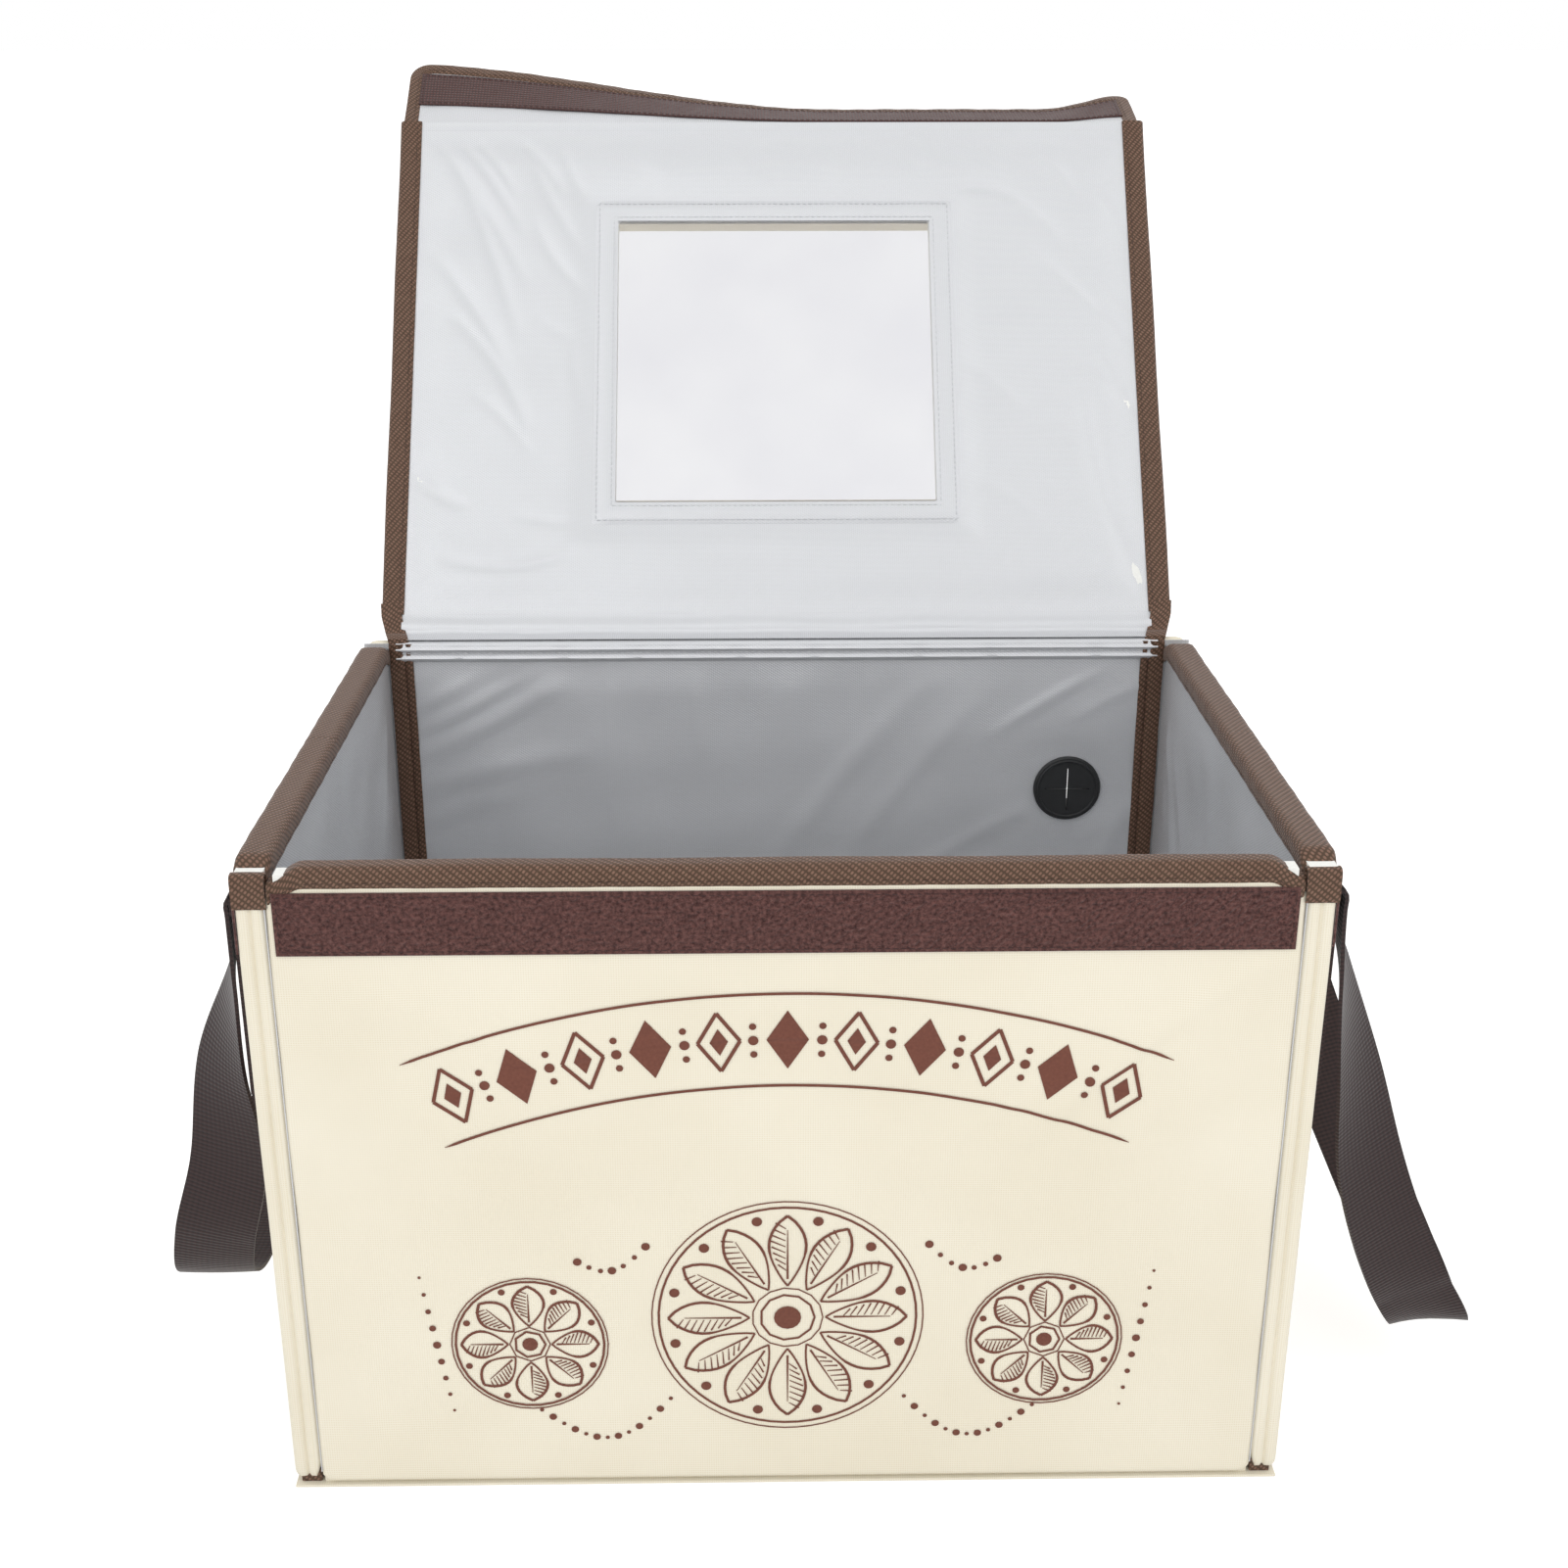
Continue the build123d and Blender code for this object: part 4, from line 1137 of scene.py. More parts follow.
# Grommet: moulded black nitrile rubber, matt with a faint bloom, slit crosswise.
black_rubber = new_material("moulded_black_nitrile_rubber")
rubber_place = add_node(black_rubber, "TexCoord")
bloom = add_node(
    black_rubber, "TexNoise", {"Scale": 160.0, "Detail": 3.0}, {"Vector": rubber_place.outputs["Object"]},
)
rubber_tint = add_node(
    black_rubber, "MixRGB", {"Color1": linear("#1C1D1E"), "Color2": linear("#2A2B2D")}, {"Fac": bloom},
)
rubber_gloss = add_node(
    black_rubber, "MapRange", {"To Min": 0.5, "To Max": 0.68}, {"Value": bloom.outputs["Fac"]},
)
rubber_bump = add_node(
    black_rubber, "Bump", {"Strength": 0.15, "Distance": 0.1 * mm}, {"Height": bloom.outputs["Fac"]},
)
surface = add_node(black_rubber, "BsdfPrincipled", {"IOR": 1.52}, {
    "Base Color": rubber_tint, "Roughness": rubber_gloss, "Normal": rubber_bump,
})
add_node(black_rubber, "OutputMaterial", {}, {"Surface": surface})
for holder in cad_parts["cable_grommet"].material_slots:
    holder.material = black_rubber

# A rounded bead is moulded round the flange's face, inside and outside.
for word, face_y, out in (("inner", grommet_low.y, -1), ("outer", grommet_high.y, 1)):
    bpy.ops.object.select_all(action="DESELECT")
    bpy.ops.mesh.primitive_torus_add(
        major_segments=72, minor_segments=10, major_radius=17.6 * mm, minor_radius=0.9 * mm,
    )
    bead = bpy.context.object
    bead.name = bead.data.name = f"grommet_{word}_bead"
    bpy.ops.object.mode_set(mode="EDIT")
    bpy.ops.transform.resize(value=(1, 1, 0.75), center_override=(0, 0, 0))
    bpy.ops.object.mode_set(mode="OBJECT")
    bpy.ops.object.shade_smooth()
    stand(bead, (grommet_x, face_y, grommet_z), (-out, 0, 0), (0, 0, 1))
    fit(bead, "back_wall", "grommet_rubber", black_rubber)

# ------------------------------------------------------------------ lid
# A padded panel with a window, hinged on a strip of bare cloth along the back wall's top.
# It stands open, 125 degrees from shut, so its silver lining faces the user.
hinge = Vector((0, 168.0, 330.5)) * mm
lid_turn = Matrix.Rotation(radians(-125), 3, "X")
lid_up = lid_turn @ Vector((0, -1, 0))       # from the hinge to the lid's front edge
lid_out = lid_turn @ Vector((0, 0, 1))       # out of the lid's cream face
bare_strip, lid_tall, lid_wide, lid_thick = 13.5 * mm, 324.2 * mm, 463 * mm, 10 * mm
lid_face = hinge + lid_up * bare_strip + lid_out * 11 * mm
window_wide, window_tall, window_mid = 192 * mm, 185 * mm, 162.1 * mm


def off_window(x, y):
    """Distance outside the window's edge, less than 0 inside it."""
    return np.maximum(np.abs(x) - window_wide / 2, np.abs(y - window_mid) - window_tall / 2)


def fit_grid_to_window(piece):
    """Move the grid lines nearest to the window's edges on to them."""
    places = read_places(piece)
    for axis, edges in (
        (0, (-window_wide / 2, window_wide / 2)),
        (1, (window_mid - window_tall / 2, window_mid + window_tall / 2)),
    ):
        for edge in edges:
            nearest = places[np.argmin(np.abs(places[:, axis] - edge)), axis]
            places[np.abs(places[:, axis] - nearest) < 0.01 * mm, axis] = edge
    write_places(piece, places)


def in_window(spot):
    return abs(spot.x) < window_wide / 2 and abs(spot.y - window_mid) < window_tall / 2


def cut_window(piece):
    fit_grid_to_window(piece)
    remove_faces(piece, lambda spot: spot.z > -0.1 * mm and in_window(spot))


def cut_window_with_sides(piece):
    """Cut the window and carry the cloth through it to the lining."""
    cut_window(piece)
    turn_rim(
        piece, window_wide, window_tall, (0, window_mid, 0),
        [(-0.3 * mm, 0.3 * mm), (-0.4 * mm, 1.2 * mm), (-0.2 * mm, 5 * mm), (-0.5 * mm, 8.8 * mm)],
        lambda spot: spot.z > -0.1 * mm and max(
            abs(spot.x) / window_wide, abs(spot.y - window_mid) / window_tall,
        ) < 0.502,
    )


lid_lines = [
    *fan(51, (-229, 322), (-70, -25), 190, 7, 5, 1.0), *fan(52, (229, 322), (-155, -110), 190, 7, 5, 1.0),
    *fan(53, (-229, 4), (25, 60), 120, 4, 5, 0.7), *fan(54, (229, 4), (120, 155), 120, 4, 5, 0.7),
]


def lid_relief(x, y):
    near_window = rise(off_window(x, y), 4 * mm, 26 * mm)
    return near_window * (creases(x, y, lid_lines) + ripple(x, y, 55, 80 * mm, 0.7 * mm) + 0.6 * mm)


lid_cover = padded_cover(
    "lid_cover_cloth", lid_wide, lid_tall, cover_thick, lid_relief, cut=cut_window_with_sides, skirt=0,
)
stand(lid_cover, lid_face, (-1, 0, 0), lid_up)
fit(lid_cover, "lid", "cover_fabric", cover_polyester, "lid_cover")

# The lining is cut a little large for the foam, so it is drawn into long slanting creases
# from the top left corner and curved ones down the right.
lid_lining_lines = [
    (-212, 312, -150, 208, 3.4, -1.5, -4), (-199, 296, -155, 174, 3.6, -1.6, -3),
    (-214, 238, -155, 144, 3.8, -1.7, -4), (-199, 194, -148, 114, 3.4, -1.6, -6),
    (-186, 142, -146, 98, 2.8, -0.8, -4), (-196, 310, -153, 244, 2.8, -1.3, -3),
    (-186, 312, -157, 268, 2.8, -1.2, -2), (-151, 300, -112, 226, 3.2, -1.4, 3),
    (-148, 256, -110, 202, 3.0, -1.3, 5), (-132, 306, -108, 254, 3.0, -1.2, 2),
    (-162, 314, -128, 270, 3.0, -1.3, -3), (-121, 172, -112, 130, 2.8, -1.1, 4),
    (-147, 192, -113, 172, 2.4, -0.6, 3), (-218, 92, -182, 66, 3.4, -1.2, 4),
    (-204, 36, -116, 40, 3.4, -1.4, 9), (-158, 62, -104, 57, 2.6, -1.0, 3),
    (94, 268, 158, 262, 3.2, -1.5, -12), (150, 266, 180, 234, 3.2, -1.2, -3),
    (150, 240, 221, 162, 2.6, -1.4, -3), (172, 165, 219, 120, 2.8, -1.3, -5),
    (186, 150, 219, 8, 4.6, -1.6, 8), (109, 165, 158, 116, 2.4, -0.9, -3),
    (152, 120, 182, 110, 2.4, -0.7, -2), (114, 86, 166, 47, 2.6, -0.9, -4),
    (163, 303, 190, 264, 3.4, -1.3, -3), (191, 284, 217, 242, 3.0, -1.3, -3),
    (194, 219, 218, 190, 2.8, -1.2, 2), (193, 177, 220, 126, 2.6, -1.1, 3), (60, 44, 150, 30, 4, -0.5, 4),
    (-60, 40, 40, 34, 5, -0.35, 3), (-90, 310, -60, 282, 5, 0.7, 2), (-30, 312, -10, 280, 6, 0.6, 2),
    (30, 312, 44, 284, 6, 0.6, -2), (84, 312, 98, 286, 5, 0.7, -2), (128, 312, 150, 280, 5, 0.8, -2),
]


def lid_lining_relief(x, y):
    edge = np.minimum(lid_wide / 2 - np.abs(x), np.minimum(y + 8 * mm, lid_tall - y))
    puffed = 2.3 * mm * rise(edge, 11 * mm, 34 * mm)
    pulled = rise(edge, 8 * mm, 20 * mm)
    near_window = rise(off_window(x, y), 12 * mm, 30 * mm)
    loose = puffed + pulled * (creases(x, y, lid_lining_lines) + ripple(x, y, 57, 70 * mm, 1.0 * mm))
    return 0.45 * mm + near_window * loose


lid_lining = lining_sheet(
    "lid_lining_sheet", lid_wide - 2 * mm, lid_tall - 1 * mm, lid_lining_relief, cell=2.4 * mm,
    cut=cut_window,
)
lining_origin = hinge + lid_up * bare_strip + lid_out * 1.8 * mm
stand(lid_lining, lining_origin, (1, 0, 0), lid_up)
fit(lid_lining, "lid", "lining_film", lining_foil, "lid_lining")

# Window: clear soft PVC film, a little slack, so its reflections wander.
window_pvc = new_material("clear_soft_pvc_film")
pvc_place = add_node(window_pvc, "UVMap", {"uv_map": "cloth"})
haze = add_node(window_pvc, "TexNoise", {"Scale": 14.0, "Detail": 2.0}, {"Vector": pvc_place})
pvc_gloss = add_node(window_pvc, "MapRange", {"To Min": 0.04, "To Max": 0.16}, {"Value": haze.outputs["Fac"]})
pvc_tint = add_node(
    window_pvc, "MixRGB", {"Color1": linear("#E9E9EE"), "Color2": linear("#FAFAFB")}, {"Fac": haze},
)
pvc_bump = add_node(
    window_pvc, "Bump", {"Strength": 0.25, "Distance": 1.2 * mm}, {"Height": haze.outputs["Fac"]},
)
surface = add_node(window_pvc, "BsdfPrincipled", {"IOR": 1.15, "Transmission Weight": 0.93}, {
    "Base Color": pvc_tint, "Roughness": pvc_gloss, "Normal": pvc_bump,
})
add_node(window_pvc, "OutputMaterial", {}, {"Surface": surface})

film_wide, film_tall = 206 * mm, 199 * mm
film = flat_cloth("window_film", film_wide, film_tall, 5 * mm)
lay_cloth(film)
x, y, z = read_places(film).T
slack = rise(np.minimum(film_wide / 2 - np.abs(x), np.minimum(y, film_tall - y)), 7 * mm, 40 * mm)
z = 1.1 * mm + slack * ripple(x, y, 61, 90 * mm, 1.6 * mm)
write_places(film, np.stack([x, y + window_mid - film_tall / 2, z], 1))
harden(film, 0.4 * mm)
stand(film, lining_origin, (1, 0, 0), lid_up)
fit(film, "lid", "window_film", window_pvc, "lid_window")

# A strip of lining is folded round the window's edge and sewn down along both sides.
trim_wide = 14 * mm
trim = flat_cloth("window_trim_strip", window_wide + 2 * trim_wide, window_tall + 2 * trim_wide, 3.5 * mm)
write_places(trim, read_places(trim) + (0, window_mid - window_tall / 2 - trim_wide, 0))
cut_window(trim)
lay_cloth(trim)
x, y, z = read_places(trim).T
off = off_window(x, y)
swell = np.sin(np.clip(off / trim_wide, 0, 1) * pi)
z = 1.35 * mm + 0.75 * mm * swell + 0.2 * mm * np.sin(x / (8 * mm)) * np.sin(y / (9 * mm)) * swell
z -= 0.9 * mm * rise(off, trim_wide - 1.2 * mm, trim_wide)
write_places(trim, np.stack([x, y, z], 1))
harden(trim, 0.4 * mm)
stand(trim, lining_origin, (1, 0, 0), lid_up)
fit(trim, "lid", "lining_film", lining_foil, "window_trim")


def window_row(off, z):
    x = window_wide / 2 + off
    low_y, high_y = window_mid - window_tall / 2 - off, window_mid + window_tall / 2 + off
    return [(-x, low_y, z), (x, low_y, z), (x, high_y, z), (-x, high_y, z), (-x, low_y, z)]


rows = sew(
    "window_stitches", [window_row(2.4 * mm, 1.8 * mm), window_row(11.4 * mm, 1.85 * mm)], (0, 0, 1),
    gauge=0.7 * mm,
)
stand(rows, lining_origin, (1, 0, 0), lid_up)
fit(rows, "lid", "lining_film", grey_thread)

# Side bindings: the same folded tape as the rim's.
lid_tape_tall = lid_tall - 0.8 * mm
lid_tape_drop = 13.5 * mm
for word, side in (("left", -1), ("right", 1)):
    tape = folded_tape(f"lid_{word}_tape", lid_tape_tall, lid_thick, lid_tape_drop, 5.0 + side)
    place = lid_face + lid_up * lid_tape_tall / 2 + Vector((side * lid_wide / 2, 0, 0))
    stand(tape, place, lid_up * side, (side, 0, 0))
    fit(tape, "lid", "binding_tape", twill_tape, f"lid_{word}_binding")
    rows = rim_stitches(f"lid_{word}_stitches", lid_tape_tall, lid_thick, None, 3 * mm, lid_tape_drop)
    stand(rows, place, lid_up * side, (side, 0, 0))
    fit(rows, "lid", "binding_tape", brown_thread)

# The hinge: lining cloth inside and cover cloth outside, limp between the lid and the wall.
hinge_zone = (0, hinge.y, hinge.z - 2 * mm), hinge + lid_up * 4 * mm


def hinge_cloth(name, wide, points, material, slot, seed, nodes=()):
    """Cloth across the hinge, following points given as (y, z), and bent by the lid."""
    points = np.asarray(points, float)
    runs = runs_along(points)
    piece = flat_cloth(name, wide, runs[-1], 1.6 * mm)
    lay_cloth(piece)
    x, s, _ = read_places(piece).T
    y, z = np.interp(s, runs, points[:, 0]), np.interp(s, runs, points[:, 1])
    slack = ripple(x, s * 3, seed, 60 * mm, 1.0 * mm) * np.sin(np.clip(s / runs[-1], 0, 1) * pi)
    write_places(piece, np.stack([x, y, z + slack], 1))
    harden(piece, 0.45 * mm)
    bridge(piece, slot, material, ("back_wall", "lid"), *hinge_zone, nodes)
    return piece


def on_lid(up, out):
    point = hinge + lid_up * up * mm + lid_out * out * mm
    return point.y, point.z


hinge_cloth(
    "hinge_lining_cloth", 440 * mm,
    [
        (158.2 * mm, 331.3 * mm), (164 * mm, 331.6 * mm), (167.6 * mm, 331.3 * mm),
        on_lid(2.0, 0.1), on_lid(4.5, -0.9), on_lid(7, -0.9), on_lid(9.5, 0.5),
        on_lid(11.5, 1.4), on_lid(13.5, 1.4), on_lid(17, 1.3),
    ],
    lining_foil, "lining_film", 71, ("lid_hinge_strip",),
)
hinge_cloth(
    "hinge_cover_cloth", 452 * mm,
    [
        (167.9 * mm, 318 * mm), (168.3 * mm, 326 * mm), (169.2 * mm, 330.5 * mm),
        on_lid(5, 3.0), on_lid(9, 6.4), on_lid(12.6, 9.6), on_lid(16, 11.5), on_lid(22, 11.9),
    ],
    cover_polyester, "cover_fabric", 72,
)
# The side bindings are lapped across it, from the corner seams to the lid's edges.
for word, side in (("left", -1), ("right", 1)):
    lap_path = [(157.0, 321.0), (156.9, 327), (158.5, 331.6), (164, 332.4), (168, 332.2)]
    lap_path = [(y * mm, z * mm) for y, z in lap_path] + [
        on_lid(4, -0.2), on_lid(9, -0.3), on_lid(14, 0.2), on_lid(20, 0.0),
    ]
    lap_path = np.asarray(lap_path)
    runs = runs_along(lap_path)
    lap = flat_cloth(f"hinge_{word}_tape", 12 * mm, runs[-1], 1.2 * mm)
    lay_cloth(lap)
    x, s, _ = read_places(lap).T
    y, z = np.interp(s, runs, lap_path[:, 0]), np.interp(s, runs, lap_path[:, 1])
    swell = 0.8 * mm * np.cos(x / (6 * mm) * pi / 2)
    drift = np.interp(
        s, [0, 8 * mm, runs[-1] - 8 * mm, runs[-1]], [219.2 * mm, 219.6 * mm, 226.0 * mm, 226.6 * mm],
    )
    write_places(lap, np.stack([side * drift + x, y - swell * 0.8, z + swell * 0.3], 1))
    harden(lap, 0.6 * mm)
    bridge(lap, "binding_tape", twill_tape, ("back_wall", "lid"), *hinge_zone)

# ------------------------------------------------------------------ lid flaps
# Three limp flaps of cover cloth and lining hang from the lid's edges, each with hook tape
# along its inside and its edge bound. With the lid open the front one stands up, slack.
hook_moulding = new_material("moulded_nylon_hook_tape")
cloth = add_node(hook_moulding, "UVMap", {"uv_map": "cloth"})
# The hooks stand in rows 1.3 mm apart; they are drawn at 1.9 mm to show.
hooks = weave_height(hook_moulding, cloth, 1.9 * mm, 2.4 * mm)
hook_noise = add_node(hook_moulding, "TexNoise", {"Scale": 60.0, "Detail": 2.0}, {"Vector": cloth})
hook_tint = add_node(
    hook_moulding, "MixRGB", {"Color1": linear("#3A2220"), "Color2": linear("#6A423D")}, {"Fac": hooks},
)
hook_gloss = add_node(
    hook_moulding, "MapRange", {"To Min": 0.35, "To Max": 0.55}, {"Value": hook_noise.outputs["Fac"]},
)
raised = add_node(hook_moulding, "Bump", {"Strength": 0.9, "Distance": 0.6 * mm}, {"Height": hooks})
surface = add_node(hook_moulding, "BsdfPrincipled", {"Specular IOR Level": 0.45}, {
    "Base Color": hook_tint, "Roughness": hook_gloss, "Normal": raised,
})
add_node(hook_moulding, "OutputMaterial", {}, {"Surface": surface})

flap_drop, flap_thick, flap_hem = 63.9 * mm, 2.5 * mm, 9 * mm
hook_up = 10 * mm           # hook tape over the flap's free edge
flap_corner = 14 * mm


class Flap:
    """A flap about its hinge line. A point is x along the line, s down the flap from it
    and z out from the flap's inner face; turn(x) is how far it is folded back, in degrees."""

    def __init__(self, body, axis, along, out, length, run, turn):
        self.axis, self.along, self.out = Vector(axis), Vector(along), Vector(out)
        self.body, self.length = body, length
        self.turn = turn
        self.s = np.linspace(0, 90 * mm, 451)
        if run > 4 * mm:
            bend = 5.1 * mm
            self.lean = np.clip((self.s - (run - bend)) / bend, 0, pi / 2)
            low = -flap_thick
        else:
            self.lean = np.full_like(self.s, pi / 2)
            low = 0.0
        step = self.s[1] - self.s[0]
        start = 0 if run > 4 * mm else run
        self.u = np.concatenate([[0], np.cumsum(np.cos(self.lean[:-1]) * step)]) + start
        self.v = low - np.concatenate([[0], np.cumsum(np.sin(self.lean[:-1]) * step)])
        self.girth = float(np.interp(flap_drop, -self.v, self.s))

    def place(self, places):
        x, s, z = np.asarray(places).T
        lean = np.interp(s, self.s, self.lean)
        u = np.interp(s, self.s, self.u) + z * np.sin(lean)
        v = np.interp(s, self.s, self.v) + z * np.cos(lean)
        turn = np.radians(self.turn(x) + 0 * x)
        u, v = u * np.cos(turn) - v * np.sin(turn), u * np.sin(turn) + v * np.cos(turn)
        return (
            np.array(self.axis) + x[:, None] * np.array(self.along)
            + u[:, None] * np.array(self.out) + v[:, None] * np.array(lid_out)
        )

    def hang(self, piece, slot, material, *nodes):
        write_places(piece, self.place(read_places(piece)))
        fit(piece, self.body, slot, material, *nodes)


def round_lower_corners(places, length, girth, radius):
    """Draw a cloth's two lower corners in to a radius. The cloth runs from s = 0 to girth."""
    x, s, z = places.T
    past_x, past_s = np.abs(x) - (length / 2 - radius), s - (girth - radius)
    corner = (past_x > 0) & (past_s > 0)
    pull = np.where(corner, np.maximum(past_x, past_s) / np.maximum(np.hypot(past_x, past_s), 1e-9), 1)
    x = np.where(corner, np.sign(x) * (length / 2 - radius + past_x * pull), x)
    s = np.where(corner, girth - radius + past_s * pull, s)
    return np.stack([x, s, z], 1)


def flap_edge_path(length, girth, radius, start=1.5 * mm):
    """Down one end, round the corner, along the free edge and up the other end, with the
    way out of the flap at each point."""
    turn = np.linspace(0, pi / 2, 9)
    left = np.stack(
        [-(length / 2 - radius) - radius * np.cos(turn), girth - radius + radius * np.sin(turn)], 1,
    )
    right = left[::-1] * (-1, 1)
    left_out = np.stack([-np.cos(turn), np.sin(turn)], 1)
    right_out = np.stack([np.cos(turn), np.sin(turn)], 1)[::-1]
    points = np.concatenate([[(-length / 2, start)], left, right, [(length / 2, start)]])
    outs = np.concatenate([[(-1, 0)], left_out, right_out, [(1, 0)]])
    runs = runs_along(points)
    return runs, points, outs


def along_edge(places, runs, points, outs):
    """Lay a strip made along the X axis round a flap's edge, its Y pointing out of it."""
    x, y, z = places.T
    at = x + runs[-1] / 2
    px, ps = np.interp(at, runs, points[:, 0]), np.interp(at, runs, points[:, 1])
    ox, os_ = np.interp(at, runs, outs[:, 0]), np.interp(at, runs, outs[:, 1])
    size = np.hypot(ox, os_)
    return np.stack([px + y * ox / size, ps + y * os_ / size, z + flap_thick], 1)


def make_flap(flap, seed, cell):
    name, length, girth = flap.body, flap.length, flap.girth
    for word, z, thick, offset, slot, material, nodes in (
        ("outer_cloth", 2.4 * mm, 0.5 * mm, -1.0, "cover_fabric", cover_polyester, (name,)),
        ("lining_sheet", 0.3 * mm, 0.4 * mm, 1.0, "lining_film", lining_foil, ()),
    ):
        sheet = flat_cloth(f"{name}_{word}", length - 1 * mm, girth - 0.4 * mm, cell)
        lay_cloth(sheet)
        places = round_lower_corners(read_places(sheet), length - 1 * mm, girth - 0.4 * mm, flap_corner)
        x, s, _ = places.T
        inside = np.minimum(length / 2 - np.abs(x), np.minimum(s, girth - s))
        puff = rise(inside, 9 * mm, 18 * mm) * ripple(x, s, seed, 45 * mm, 1.0 * mm)
        places[:, 2] = z + puff * (1 if word == "outer_cloth" else 0.5)
        write_places(sheet, places)
        harden(sheet, thick, offset)
        flap.hang(sheet, slot, material, *nodes)
    # Hook tape, on the inside.
    strip_long = length - 2 * 1.5 * mm - (0 if length < 0.3 else 12 * mm)
    strip = tape_strip(f"{name}_hook_strip", strip_long, 30 * mm, 1.0 * mm, seed + 1, 0.08 * mm)
    places = read_places(strip) * (-1, 1, -1) + (0, girth - hook_up - 30 * mm, 0.1 * mm)
    write_places(strip, places)
    flap.hang(strip, "hook_tape", hook_moulding, name + "_hook_tape")
    rows = sew(f"{name}_hook_stitches", [
        [
            (x, y + girth - hook_up - 30 * mm, z)
            for x, y, z in box_row(strip_long, 30 * mm, 1.8 * mm, -0.95 * mm)
        ],
    ], (0, 0, -1))
    flap.hang(rows, "hook_tape", maroon_thread)
    # The edge is bound right round in one length of tape.
    runs, points, outs = flap_edge_path(length, girth, flap_corner)
    tape = folded_tape(f"{name}_edge_tape", runs[-1], flap_thick, flap_hem, seed + 2, proud=0.6 * mm)
    write_places(tape, along_edge(read_places(tape), runs, points, outs))
    flap.hang(tape, "binding_tape", twill_tape, name + "_binding")
    x = np.linspace(-runs[-1] / 2 + 3 * mm, runs[-1] / 2 - 3 * mm, 160)
    lines = [
        np.stack([x, 0 * x - flap_hem + 3.2 * mm, 0 * x + z], 1) for z in (0.66 * mm, -flap_thick - 0.66 * mm)
    ]
    rows = sew(f"{name}_edge_stitches", lines, (0, 0, 1))
    write_places(rows, along_edge(read_places(rows), runs, points, outs))
    flap.hang(rows, "binding_tape", brown_thread)


def front_flap_turn(x):
    """The front flap leans back, most at its right, and stands up again at that end."""
    world_x = -x
    return 108 + 29 * rise(world_x, -260 * mm, 40 * mm) - 10 * rise(world_x, 175 * mm, 245 * mm)


lid_front = bare_strip + lid_tall
flaps = [
    Flap("front_flap", hinge + lid_up * (lid_front + 0.2 * mm) + lid_out * 11.4 * mm, (-1, 0, 0), lid_up,
         465 * mm, 0.2 * mm, front_flap_turn),
]
for word, side in (("left", -1), ("right", 1)):
    axis = hinge + lid_up * 168 * mm + lid_out * 12.4 * mm + Vector((side * 232.7 * mm, 0, 0))

    def lean_back(x, side=side):
        return 165 + 4 * np.sin(x / (60 * mm) + side)

    flaps.append(Flap(f"{word}_flap", axis, lid_up * side, (side, 0, 0), 234 * mm, 9.9 * mm, lean_back))
for n, flap in enumerate(flaps):
    make_flap(flap, 80 + 5 * n, 3.4 * mm)


def flap_joint(name, flap, wide, path, on_flap, material, slot):
    """Cloth from the lid on to a flap. The path is on the lid, as how far out of the hinge
    line and how far over it in mm; on_flap gives s and z on the flap, in mm."""
    piece = flat_cloth(name, wide, 14 * mm, 2.6 * mm)
    lay_cloth(piece)
    x, y, _ = read_places(piece).T
    share = y / (14 * mm) * (len(path) + len(on_flap) - 1)
    knots = []
    for u, v in path:
        spot = np.array(flap.axis) + u * mm * np.array(flap.out) + v * mm * np.array(lid_out)
        knots.append(x[:, None] * np.array(flap.along) + spot)
    for s, z in on_flap:
        knots.append(flap.place(np.stack([x, 0 * x + s * mm, 0 * x + z * mm], 1)))
    knots = np.stack(knots)
    before = np.clip(share.astype(int), 0, len(knots) - 2)
    part = (share - before)[:, None]
    pick = np.arange(len(x))
    write_places(piece, knots[before, pick] * (1 - part) + knots[before + 1, pick] * part)
    harden(piece, 0.45 * mm, 0.0)
    bridge(
        piece, slot, material, ("lid", flap.body),
        flap.axis - flap.out * 3 * mm - lid_out * 3 * mm, flap.axis + lid_out * 3 * mm + flap.out * 1 * mm,
    )


flap_joint(
    "front_flap_joint_lining", flaps[0], 441 * mm,
    [(-7, -9.9), (-2.5, -9.8), (-0.6, -8.6), (0.2, -5.5), (0.5, -2.0)],
    [(1.0, 0.1), (3.5, 0.15), (6.5, 0.2)],
    lining_foil, "lining_film",
)
flap_joint(
    "front_flap_joint_cloth", flaps[0], 450 * mm,
    [(-12, 0.25), (-7, 0.3), (-3, 0.35)], [(0.6, 2.5), (4, 2.7), (8, 2.6)],
    cover_polyester, "cover_fabric",
)
for flap in flaps[1:]:
    flap_joint(
        flap.body + "_joint_cloth", flap, 230 * mm,
        [(-16, -0.4), (-11, 0.35), (-6, 0.4), (-1.5, 0.45)], [(0.5, 0.2), (3, -0.2)],
        cover_polyester, "cover_fabric",
    )

# ------------------------------------------------------------------ base
# The walls stand on a cloth base. Its long sides are bound in tape and its ends are
# hemmed; it gathers up when the walls fold. A loose stiff board makes the floor.
low, high, size = size_of("base_fabric")
base_cloth = flat_cloth("base_cloth", size.x, size.y, 12 * mm)
write_places(base_cloth, read_places(base_cloth) + (0, low.y, high.z))
lay_cloth(base_cloth)
harden(base_cloth, size.z)
fit(base_cloth, "back_wall", "cover_fabric", cover_polyester, "base_fabric")
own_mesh(base_cloth)


